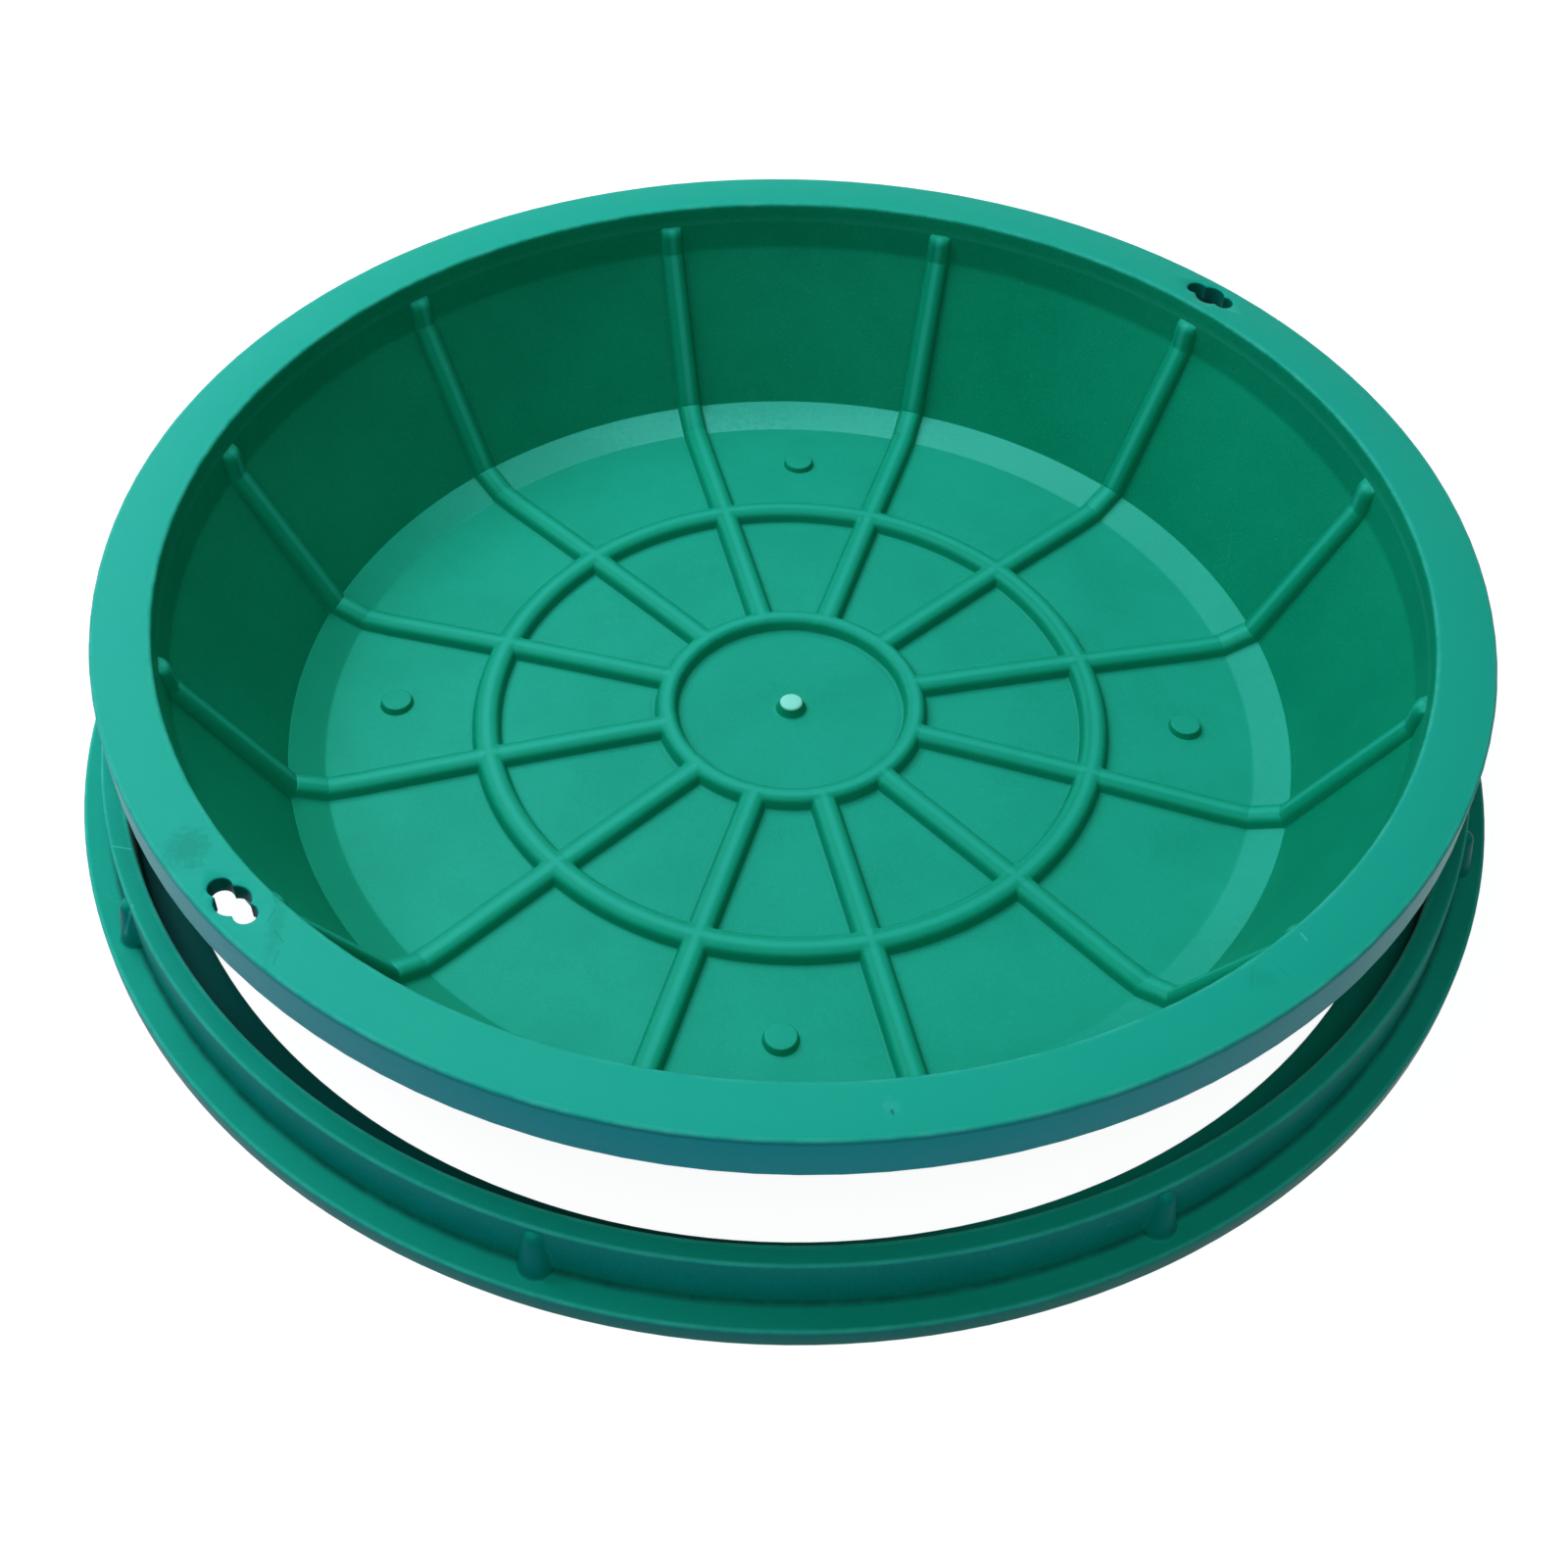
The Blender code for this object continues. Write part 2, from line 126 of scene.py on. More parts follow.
def at_lengths(points, lengths):
    """Points of the chain at the given distances along it."""
    along = lengths_along(points)
    return np.stack([np.interp(lengths, along, points[:, k]) for k in (0, 1)], axis=1)


def subdivided(points, longest):
    """The chain with extra points, so that no side is longer than the given length."""
    along = lengths_along(points)
    counts = np.ceil(np.diff(along) / longest).astype(int).clip(1)
    runs = [np.linspace(a, b, n, endpoint=False) for a, b, n in zip(along, along[1:], counts)]
    return at_lengths(points, np.concatenate(runs + [along[-1:]]))


print("a 90 degree corner gets", len(corner_arc(*np.array([[0, 1], [0, 0], [1, 0.0]]), 0.2)), "points")

# %% [markdown]
# Both pieces are closed skins over a grid: the rows follow the section and the columns go round
# the axis. The faces are index arithmetic on whole arrays. The cover's first and last row each
# close on a single pole vertex, so its middle has no hole and no pile of equal points.

# %% From a grid of points to a closed mesh


def grid_faces(rows, columns, ring_closed):
    """Quads between neighbouring rows and columns. The columns close on themselves."""
    i = np.arange(rows if ring_closed else rows - 1)[:, None]
    j = np.arange(columns)[None, :]
    below = (i + 1) % rows
    beside = (j + 1) % columns
    quads = np.stack(
        [i * columns + j, below * columns + j, below * columns + beside, i * columns + beside], axis=-1
    )
    return quads.reshape(-1, 4).tolist()


def pole_faces(first, columns, pole, turned_over):
    """Triangles between one row, which starts at vertex number first, and a pole vertex."""
    j = np.arange(columns)
    here = first + j
    beside = first + (j + 1) % columns
    tip = np.full(columns, pole)
    order = [here, tip, beside] if turned_over else [tip, here, beside]
    return np.stack(order, axis=1).tolist()


def grid_mesh(name, points, top=None, bottom=None):
    """A closed mesh from points[row, column]. The rows close on themselves if no poles are given."""
    rows, columns, _ = points.shape
    verts = points.reshape(-1, 3)
    faces = grid_faces(rows, columns, ring_closed=top is None)
    if top is not None:
        verts = np.concatenate([verts, [top, bottom]])
        faces += pole_faces(0, columns, rows * columns, False)
        faces += pole_faces((rows - 1) * columns, columns, rows * columns + 1, True)
    mesh = bpy.data.meshes.new(name)
    mesh.from_pydata(verts.tolist(), [], faces)
    mesh.update()
    return mesh


def around(radius, azimuth, height, axis=(0, 0)):
    """Cylinder coordinates to x, y, z: the radius turned to its azimuth about an upright axis."""
    x = axis[0] + radius * np.cos(azimuth)
    y = axis[1] + radius * np.sin(azimuth)
    return np.stack(np.broadcast_arrays(x, y, height), axis=-1)


# %% [markdown]
# The ribs are what one sees first. On the real basin they are half-round bars, moulded with the
# wall, that keep their width from the middle of the floor up to their domed heads. A texture or a
# bump would not stand out against the light, so they are real relief: the basin's skin is pushed
# inwards, along its own normal, by the height of a rib section. The section is a trapezoid with
# drafted flanks, a fillet at its foot and a round shoulder.

# %% The section of a rib
RIB_WIDTH = 16 * MM
RIB_HEIGHT = 7 * MM
RING_RIB_HEIGHT = 7.4 * MM
RIB_DRAFT = math.radians(15)
FOOT_FILLET = 1.7 * MM
FOOT_MARGIN = 1.6 * FOOT_FILLET


def bar_section(width, height, shoulder):
    """Points (offset from the middle line, height) across a moulded rib, foot to foot."""
    foot = width / 2
    head = foot - height * math.tan(RIB_DRAFT)
    return rounded_chain(
        [
            (-foot - FOOT_MARGIN, 0, 0),
            (-foot, 0, FOOT_FILLET),
            (-head, height, shoulder),
            (head, height, shoulder),
            (foot, 0, FOOT_FILLET),
            (foot + FOOT_MARGIN, 0, 0),
        ]
    )


def section_height(section, offset):
    """Height of a rib section at any offset from its middle line, and nothing beyond its feet."""
    return np.interp(offset, section[:, 0], section[:, 1], left=0, right=0)


rib_section = bar_section(RIB_WIDTH, RIB_HEIGHT, 5 * MM)
inner_ring_section = bar_section(13.5 * MM, RING_RIB_HEIGHT, 4.2 * MM)
outer_ring_section = bar_section(16.5 * MM, RING_RIB_HEIGHT, 5 * MM)
print("points across a rib:", len(rib_section))

# %% [markdown]
# The inside of the basin, from the axis outwards: a small boss in the middle, a floor that is
# crowned so that rain runs off to the edge, a flat foot, a chamfer, the leaning wall, a steeper
# collar and the rim. The floor's rows are put exactly where the two ring ribs need them.

# %% The basin's inside as a section
RIM_WIDTH = 31.2 * MM
RIM_THICKNESS = 9.5 * MM
SKIRT_DEPTH = 26.5 * MM
SKIRT_THICKNESS = 5 * MM
COLLAR_DEPTH = 30 * MM
COLLAR_DRAFT = 3.5 * MM
WALL_THICKNESS = 6.5 * MM
FLOOR_THICKNESS = 6.6 * MM
WALL_LEAN = 48.3 * MM
CHAMFER = (19.8 * MM, 8.2 * MM)
FLOOR_FOOT_WIDTH = 18.7 * MM
FLOOR_CROWN = 7 * MM
BEND_ROUND = 9 * MM
INNER_RING = 72.5 * MM
OUTER_RING_INSET = 73.5 * MM
FLOOR_STEPS = (5, 10, 7)
CENTRE_BOSS = {"foot": 10 * MM, "head": 6.3 * MM, "height": 6 * MM, "round": 2 * MM, "dome": 0.5 * MM}
CENTRE_BOSS_FILLET = 1.6 * MM

rim_inner = COVER_RADIUS - RIM_WIDTH
collar_foot = np.array([rim_inner - COLLAR_DRAFT, COVER_HEIGHT - COLLAR_DEPTH])
floor_edge = collar_foot[0] - WALL_LEAN - CHAMFER[0]
chamfer_edge = floor_edge + CHAMFER[0]
chamfer_top = FLOOR_THICKNESS + CHAMFER[1]
crown_edge = floor_edge - FLOOR_FOOT_WIDTH
outer_ring = crown_edge - OUTER_RING_INSET


def floor_top(r):
    """Height of the floor: its thickness and a crown that falls with the square of the radius."""
    return FLOOR_THICKNESS + FLOOR_CROWN * (1 - np.minimum(r / crown_edge, 1) ** 2)


def floor_rows(start):
    """Points of the floor from a start radius to the crown's edge, dense across the ring ribs."""
    inner = INNER_RING + inner_ring_section[:, 0]
    outer = outer_ring + outer_ring_section[:, 0]
    spans = [(start, inner[0]), (inner[-1], outer[0]), (outer[-1], crown_edge)]
    plain = [np.linspace(a, b, steps + 1)[1:-1] for (a, b), steps in zip(spans, FLOOR_STEPS)]
    r = np.concatenate([plain[0], inner, plain[1], outer, plain[2]])
    return np.stack([r, floor_top(r)], axis=1)


def centre_boss_rows():
    """The worn stud in the middle: a slightly domed head, a round edge and a drafted flank."""
    head, foot, dome = (CENTRE_BOSS[key] for key in ("head", "foot", "dome"))
    head_z = floor_top(0) + CENTRE_BOSS["height"]
    return rounded_chain(
        [
            (0.6 * MM, head_z + dome, 0),
            (head * 0.55, head_z + dome * 0.7, 8 * MM),
            (head, head_z, CENTRE_BOSS["round"]),
            (foot - 1 * MM, floor_top(foot), CENTRE_BOSS_FILLET),
            (foot + 2 * MM, floor_top(foot), 0),
        ]
    )


boss_rows = centre_boss_rows()
bowl_rows = floor_rows(boss_rows[-1, 0])
print("floor: crowned by %.1f mm out to a radius of %.1f mm" % (FLOOR_CROWN / MM, crown_edge / MM))

# %% [markdown]
# Each rib ends twelve millimetres under the rim in a dome that catches the sky, like the tip of a
# finger laid on the wall. The skin needs rows just where the dome stands, close together where it
# is steep, so the rows there are spaced by equal angles of the dome and not by equal lengths.

# %% The wall's rows, with the rib heads in them
RIB_HEAD_DROP = 12 * MM
HEAD_ROUND = 7 * MM
HEAD_FULLNESS = 2.5
HEAD_STEPS = 11
WALL_STEP = 9 * MM

wall_corners = [
    (crown_edge, FLOOR_THICKNESS, 0),
    (floor_edge, FLOOR_THICKNESS, BEND_ROUND),
    (chamfer_edge, chamfer_top, BEND_ROUND),
    (*collar_foot, BEND_ROUND),
    (rim_inner, COVER_HEIGHT, 0),
]
wall_chain = subdivided(rounded_chain(wall_corners), WALL_STEP)
wall_lengths = lengths_along(wall_chain)
head_z = COVER_HEIGHT - RIB_HEAD_DROP
head_length = np.interp(head_z, wall_chain[:, 1], wall_lengths)
quarter = np.linspace(0, math.pi / 2, HEAD_STEPS + 1)
head_offsets = HEAD_ROUND * (np.sin(quarter) - 1)
keep = (wall_lengths < head_length - HEAD_ROUND - 1 * MM) | (wall_lengths > head_length + 2 * MM)
behind_head = [head_length + 1 * MM, wall_lengths[-1] - 6 * MM]
wall_lengths = np.unique(np.concatenate([wall_lengths[keep], head_length + head_offsets, behind_head]))
wall_rows = at_lengths(wall_chain, wall_lengths)[:-1]
print("rows up the wall:", len(wall_rows))

# %% [markdown]
# Outside, the moulding is a plain shell: the rim turns down into a skirt, and under the rim the
# wall follows the inside at its own thickness. The underside doesn't show in the photograph, so
# nothing is added to it.

# %% Rim, skirt and underside as a section
RIM_INNER_ROUND = 2.5 * MM
RIM_OUTER_ROUND = 2 * MM
SKIRT_FOOT_ROUND = 1 * MM
INSIDE_FILLET = 2.5 * MM
SHELL_STEP = 20 * MM
UNDER_ROWS = 8


def offset_line(a, b, distance):
    """A point and a direction of the line through a and b, moved to the right by a distance."""
    along = unit(b - a)
    return a + np.array([along[1], -along[0]]) * distance, along


def crossing(line, other):
    """The point where two lines (point, direction) meet."""
    (p, u), (q, v) = line, other
    travel = ((q - p)[0] * v[1] - (q - p)[1] * v[0]) / (u[0] * v[1] - u[1] * v[0])
    return p + u * travel


inside = [np.array(corner[:2]) for corner in wall_corners[1:]]
outer_lines = [offset_line(a, b, WALL_THICKNESS) for a, b in zip(inside, inside[1:])]
outwards = np.array([1.0, 0.0])
ground_line = (np.zeros(2), outwards)
plate_line = (np.array([0, COVER_HEIGHT - RIM_THICKNESS]), outwards)
under_floor = crossing(ground_line, outer_lines[0])
under_chamfer = crossing(outer_lines[0], outer_lines[1])
under_collar = crossing(outer_lines[1], outer_lines[2])
under_plate = crossing(outer_lines[2], plate_line)
skirt_inner = COVER_RADIUS - SKIRT_THICKNESS
skirt_foot_z = COVER_HEIGHT - SKIRT_DEPTH
shell_corners = [
    (*wall_rows[-1], 0),
    (rim_inner, COVER_HEIGHT, RIM_INNER_ROUND),
    (COVER_RADIUS, COVER_HEIGHT, RIM_OUTER_ROUND),
    (COVER_RADIUS, skirt_foot_z, SKIRT_FOOT_ROUND),
    (skirt_inner, skirt_foot_z, SKIRT_FOOT_ROUND),
    (skirt_inner, COVER_HEIGHT - RIM_THICKNESS, INSIDE_FILLET),
    (*under_plate, INSIDE_FILLET),
    (*under_collar, BEND_ROUND),
    (*under_chamfer, BEND_ROUND),
    (*under_floor, BEND_ROUND),
    (crown_edge, 0, 0),
]
shell_rows = subdivided(rounded_chain(shell_corners), SHELL_STEP)[1:]
under_r = np.linspace(crown_edge, 10 * MM, UNDER_ROWS + 1)[1:]
under_rows = np.stack([under_r, floor_top(under_r) - FLOOR_THICKNESS], axis=1)
cover_outline = np.concatenate([boss_rows, bowl_rows, wall_rows, shell_rows, under_rows])
wall_start = len(boss_rows) + len(bowl_rows)
inside_count = wall_start + len(wall_rows)
wall_part = slice(wall_start, inside_count)
print("rows of the cover:", len(cover_outline), "of which inside the basin:", inside_count)

# %% [markdown]
# The columns are not evenly spaced. A rib is sixteen millimetres wide everywhere, so near it the
# columns keep a fixed distance to its middle line: at radius r, the column at offset d has the
# azimuth asin(d / r). Between two ribs the rest is shared out evenly. In this way a few columns
# give every rib clean straight flanks.

# %% Azimuths that follow the ribs
RIB_COUNT = 12
FIRST_RIB = math.radians(15)
BETWEEN_RIBS = 8


def column_azimuths(r):
    """Azimuth of every column at every radius, as an array [row, column]."""
    reach = np.maximum(r, INNER_RING)[:, None]
    sector = math.tau / RIB_COUNT
    near = np.arcsin(rib_section[:, 0] / reach)
    share = np.linspace(0, 1, BETWEEN_RIBS + 2)[1:-1]
    between = near[:, -1:] + share * (sector + near[:, :1] - near[:, -1:])
    one_sector = np.concatenate([near, between], axis=1)
    starts = FIRST_RIB + sector * np.arange(RIB_COUNT)
    return (starts[None, :, None] + one_sector[:, None, :]).reshape(len(r), -1)


cover_azimuth = column_azimuths(cover_outline[:, 0])
rib_offsets = np.concatenate([rib_section[:, 1], np.zeros(BETWEEN_RIBS)])
rib_relief = np.tile(rib_offsets, RIB_COUNT)
print("columns round the cover:", cover_azimuth.shape[1])

# %% [markdown]
# Now the relief itself. Rows give the height of the ring ribs and columns the height of the
# radial ribs. Where both are high, the higher one wins, with a small blend so that a fillet runs
# round the crossing. A rib stops inside the inner ring. Up the wall it loses a little of its
# height, as the real ones do towards their heads, and a dome rounds the head off. The section has
# round bends, because the ribs would fold over themselves at a sharp one. The real bends are
# crisp, so each row is then pushed back to the sharp corner along the same normal.

# %% Relief of ribs and ring ribs
CROSSING_BLEND = 1.2 * MM
RIB_TAPER = 2.2 * MM


def smooth_higher(a, b, blend):
    """The higher of two heights, with a fillet where they are nearly equal and both stand out."""
    close = np.maximum(blend - np.abs(a - b), 0)
    stands_out = np.minimum(np.minimum(a, b) / blend, 1)
    return np.maximum(a, b) + close**2 / (4 * blend) * stands_out


def rib_limits(outline):
    """For each row, how much is taken off a rib's height, and the most that stays of it."""
    r, z = outline.T
    taken = np.zeros(len(outline))
    most = np.full(len(outline), 1.0)
    inner_side = r < INNER_RING
    most[inner_side] = section_height(inner_ring_section, r[inner_side] - INNER_RING)
    most[inside_count:] = 0
    rising = np.clip(1 + (wall_lengths[:-1] - head_length) / HEAD_ROUND, 0, 1)
    dome = HEAD_ROUND * (1 - (1 - rising**HEAD_FULLNESS) ** (1 / HEAD_FULLNESS))
    climbed = np.clip((z[wall_part] - chamfer_top) / (head_z - chamfer_top), 0, 1)
    taken[wall_part] = dome + RIB_TAPER * climbed
    return taken, most


def row_normals(outline):
    """Unit normals of the section, to the left of its direction, which is into the basin."""
    along = np.gradient(outline, axis=0)
    normal = np.stack([-along[:, 1], along[:, 0]], axis=1)
    return normal / np.linalg.norm(normal, axis=1, keepdims=True)


def gaps_to_sharp(rows, normals):
    """How far each row lies before the sharp bends, measured against its normal.

    A point p with normal n meets the line through a with normal m at the distance
    (p - a) . m / (n . m). The wall is hollow all the way, so the nearest line is the one met.
    """
    sharp = np.array([corner[:2] for corner in wall_corners])
    gaps = np.full(len(rows), np.inf)
    for a, b in zip(sharp, sharp[1:]):
        across = unit(np.array([a[1] - b[1], b[0] - a[0]]))
        facing = np.maximum(normals @ across, 0.1)
        gaps = np.minimum(gaps, (rows - a) @ across / facing)
    return np.maximum(gaps, 0)


taken, most = rib_limits(cover_outline)
ribs = np.clip(rib_relief[None, :] - taken[:, None], 0, most[:, None])
rings = section_height(inner_ring_section, cover_outline[:, 0] - INNER_RING)
rings = rings + section_height(outer_ring_section, cover_outline[:, 0] - outer_ring)
rings[wall_start:] = 0
relief = smooth_higher(ribs, rings[:, None], CROSSING_BLEND)
normals = np.zeros_like(cover_outline)
normals[:inside_count] = row_normals(cover_outline[:inside_count])
normals[:wall_start] = (0, 1)
sunk = np.zeros((len(cover_outline), 1))
sunk[wall_part, 0] = gaps_to_sharp(cover_outline[wall_part], normals[wall_part])
cover_r = cover_outline[:, :1] + (relief - sunk) * normals[:, :1]
cover_z = cover_outline[:, 1:] + (relief - sunk) * normals[:, 1:]
print("bends sharpened by up to %.2f mm" % (sunk.max() / MM))
cover_points = around(cover_r, cover_azimuth, cover_z, COVER_AXIS)
print("highest relief: %.2f mm" % (relief.max() / MM))

# %% [markdown]
# The lifting holes are an eye with a lobe at each end, so that a hooked key goes in and turns. The
# outline is a polar curve: in every direction, the farthest of three circles. The cutter widens
# at the top, because the hole's edge is broken there. The four floor bosses are small turned studs.
# Both are joined or cut by exact Booleans, since they don't follow the grid's rows or columns.

# %% Cutters for the lifting holes, and the floor bosses
LIFT_HOLE_AZIMUTHS = np.radians([45, 224.7])
LIFT_HOLE_INSET = 14.5 * MM
EYE_RADIUS = 8.7 * MM
LOBE_RADIUS = 5.7 * MM
LOBE_OFFSET = 10.5 * MM
LOBE_BLEND = 1.5 * MM
LIFT_HOLE_CIRCLE = COVER_RADIUS - LIFT_HOLE_INSET
BROKEN_EDGE = np.array([(1.5, 2.4), (0, 0.9), (-0.35, 0.35), (-1, 0)]) * MM
HOLE_COLUMNS = 72
BOSS_AZIMUTHS = np.radians([0, 90, 180, 270])
BOSS_CIRCLE = crown_edge - 19.5 * MM
BOSS = {"foot": 9.8 * MM, "head": 8.5 * MM, "height": 3.8 * MM, "round": 1.1 * MM}
BOSS_ROOT = 3 * MM
BOSS_COLUMNS = 48


def far_side(angle, direction, distance, radius):
    """Distance from the origin to the far side of a circle that stands off in a direction."""
    lean = angle - direction
    inside_root = radius**2 - (distance * np.sin(lean)) ** 2
    hit = (inside_root > 0) & (np.cos(lean) > 0)
    return np.where(hit, distance * np.cos(lean) + np.sqrt(np.maximum(inside_root, 0)), 0)


def hole_cutter(name, azimuth):
    """A closed prism of the lobed outline through the rim, a little wider at its top.

    BROKEN_EDGE lists heights above the rim's face, and how much wider the prism is at each.
    """
    angle = np.linspace(0, math.tau, HOLE_COLUMNS, endpoint=False)
    lobes = [far_side(angle, side, LOBE_OFFSET, LOBE_RADIUS) for side in (math.pi / 2, -math.pi / 2)]
    outline = smooth_higher(np.full(HOLE_COLUMNS, EYE_RADIUS), np.maximum(*lobes), LOBE_BLEND)
    z = COVER_HEIGHT + np.append(BROKEN_EDGE[:, 0], -RIM_THICKNESS - 2 * MM)
    wider = np.append(BROKEN_EDGE[:, 1], 0)
    reach = outline[None, :] + wider[:, None]
    axis = COVER_AXIS + LIFT_HOLE_CIRCLE * np.array([math.cos(azimuth), math.sin(azimuth)])
    points = around(reach, angle[None, :] + azimuth, z[:, None], axis)
    return grid_mesh(name, points, (*axis, z[0]), (*axis, z[-1]))


def floor_boss(name, azimuth):
    """A turned stud with a rounded head that stands on the floor and roots in it."""
    axis = COVER_AXIS + BOSS_CIRCLE * np.array([math.cos(azimuth), math.sin(azimuth)])
    floor_z = floor_top(BOSS_CIRCLE)
    head_z = floor_z + BOSS["height"]
    flank = (BOSS["foot"] - BOSS["head"]) / BOSS["height"]
    root_z = floor_z - BOSS_ROOT
    chain = rounded_chain(
        [
            (1 * MM, head_z, 0),
            (BOSS["head"], head_z, BOSS["round"]),
            (BOSS["foot"] + flank * BOSS_ROOT, root_z, 0),
            (1 * MM, root_z, 0),
        ]
    )
    angle = np.linspace(0, math.tau, BOSS_COLUMNS, endpoint=False)
    points = around(chain[:, :1], angle[None, :], chain[:, 1:], axis)
    return grid_mesh(name, points, (*axis, chain[0, 1]), (*axis, chain[-1, 1]))


def link(mesh):
    """An object at the origin that shows a mesh."""
    obj = bpy.data.objects.new(mesh.name, mesh)
    bpy.context.scene.collection.objects.link(obj)
    return obj


def carve(obj, tools, operation):
    """Join tool meshes to a piece or cut them out of it, keep the result and drop the tools."""
    shape = bmesh.new()
    for tool in tools:
        shape.from_mesh(tool)
    joined = bpy.data.meshes.new("tools")
    shape.to_mesh(joined)
    shape.free()
    helper = link(joined)
    boolean = obj.modifiers.new("carve", "BOOLEAN")
    boolean.solver = "EXACT"
    boolean.operation = operation
    boolean.object = helper
    graph = bpy.context.evaluated_depsgraph_get()
    result = bpy.data.meshes.new_from_object(obj.evaluated_get(graph))
    obj.modifiers.clear()
    obj.data = result
    bpy.data.objects.remove(helper)


def smooth_piece(obj, sharp):
    """Shade a piece smooth, but keep edges sharper than the given angle."""
    obj.data.shade_smooth()
    obj.data.set_sharp_from_angle(angle=math.radians(sharp))


def keep_value(mesh, name, values, top, bottom):
    """Store one value for each vertex of the grid and for its two poles as a mesh attribute."""
    layer = mesh.attributes.new(name, "FLOAT", "POINT")
    layer.data.foreach_set("value", np.append(values.ravel(), [top, bottom]))


# %% [markdown]
# The grid becomes a mesh, the bosses are joined to it and the lifting holes are cut. Every vertex
# first keeps two values: how far the relief stands out there, and whether it lies inside the
# basin. The exact Boolean carries such values along, so the material can later paint a highlight
# along the ribs' crests and shade at their feet without any guess at where they are.

# %% Make the cover
SHARP_ANGLE = 38
top_pole = (*COVER_AXIS, cover_outline[0, 1])
bottom_pole = (*COVER_AXIS, FLOOR_CROWN)
basin_mesh = grid_mesh("basin", cover_points, top_pole, bottom_pole)
keep_value(basin_mesh, "relief", relief, 0.0, 0.0)
inside = np.broadcast_to((np.arange(len(relief)) < inside_count)[:, None], relief.shape)
keep_value(basin_mesh, "inside", inside.astype(float), 1.0, 0.0)
cover = link(basin_mesh)
carve(cover, [floor_boss("boss", azimuth) for azimuth in BOSS_AZIMUTHS], "UNION")
carve(cover, [hole_cutter("hole", azimuth) for azimuth in LIFT_HOLE_AZIMUTHS], "DIFFERENCE")
cover.name = "basin_skin"
smooth_piece(cover, SHARP_ANGLE)
print("faces of the cover:", len(cover.data.polygons))
stored = np.array([entry.value for entry in cover.data.attributes["relief"].data])
print("relief kept at", int((stored > 0.5 * MM).sum()), "of", len(stored), "points")

# %% [markdown]
# The frame ring is turned as well: a base flange, a ledge that the cover's skirt sits on, and an
# upstand. Eight gussets stand against the upstand outside. Each is a tapered half-round column,
# so the upstand's outer rows are pushed outwards to the farther of wall and column, blended like
# the ribs' crossings, and the flange's rows start where that pushed wall ends.

# %% The frame ring
CLEAR_OPENING_RADIUS = 352.5 * MM
SEAT_RADIUS = CLEAR_OPENING_RADIUS + 20 * MM
UPSTAND_RADIUS = SEAT_RADIUS + 12 * MM
UPSTAND_DRAFT = 0.6 * MM
BASE_THICKNESS = 12 * MM
RING_EDGE_ROUND = 1.8 * MM
RING_FOOT_ROUND = 0.8 * MM
UPSTAND_FILLET = 2.4 * MM
GUSSET_COUNT = 8
FIRST_GUSSET = math.radians(28.6)
GUSSET = {"foot": 10 * MM, "head": 4.2 * MM, "drop": 3.2 * MM, "dome": 5 * MM, "blend": 1.4 * MM}
GUSSET_COLUMNS = np.linspace(-13.5, 13.5, 31) * MM
BETWEEN_GUSSETS = 20
FAR_FROM_GUSSETS = 1.0

ring_chain = rounded_chain(
    [
        (RING_RADIUS - 6 * MM, BASE_THICKNESS, 0),
        (RING_RADIUS, BASE_THICKNESS, RING_EDGE_ROUND),
        (RING_RADIUS, 0, RING_FOOT_ROUND),
        (CLEAR_OPENING_RADIUS, 0, RING_FOOT_ROUND),
        (CLEAR_OPENING_RADIUS, BASE_THICKNESS, RING_EDGE_ROUND),
        (SEAT_RADIUS, BASE_THICKNESS, UPSTAND_FILLET),
        (SEAT_RADIUS, RING_HEIGHT, RING_EDGE_ROUND),
        (UPSTAND_RADIUS - UPSTAND_DRAFT, RING_HEIGHT, RING_EDGE_ROUND),
        (UPSTAND_RADIUS - UPSTAND_DRAFT, RING_HEIGHT - 2 * RING_EDGE_ROUND, 0),
    ]
)[1:-1]
ring_chain = subdivided(ring_chain, 8 * MM)


def ring_azimuths():
    """Azimuths round the ring, dense at the gussets, and each column's offset from its gusset."""
    sector = math.tau / GUSSET_COUNT
    near = np.arcsin(GUSSET_COLUMNS / UPSTAND_RADIUS)
    share = np.linspace(0, 1, BETWEEN_GUSSETS + 2)[1:-1]
    between = near[-1] + share * (sector + near[0] - near[-1])
    one_sector = np.concatenate([near, between])
    starts = FIRST_GUSSET + sector * np.arange(GUSSET_COUNT)
    azimuth = (starts[:, None] + one_sector[None, :]).ravel()
    offset = np.concatenate([GUSSET_COLUMNS, np.full(BETWEEN_GUSSETS, FAR_FROM_GUSSETS)])
    return azimuth, np.tile(offset, GUSSET_COUNT)


def gusset_reach(offset, z):
    """How far a gusset's column stands out from the upstand at an offset and a height.

    The column's radius shrinks evenly upwards and closes as a quarter ellipse at its head.
    """
    top = RING_HEIGHT - GUSSET["drop"]
    rise = (top - z) / (top - BASE_THICKNESS / 2)
    radius = GUSSET["head"] + (GUSSET["foot"] - GUSSET["head"]) * rise
    into_dome = np.clip((z - top + GUSSET["dome"]) / GUSSET["dome"], 0, 1)
    radius = radius * np.sqrt(1 - into_dome**2)
    inside_root = radius[:, None] ** 2 - offset[None, :] ** 2
    column = np.sqrt(np.maximum(inside_root, 0))
    short = np.sqrt(np.maximum(-inside_root, 0))
    return np.where(inside_root > 0, column, -short)


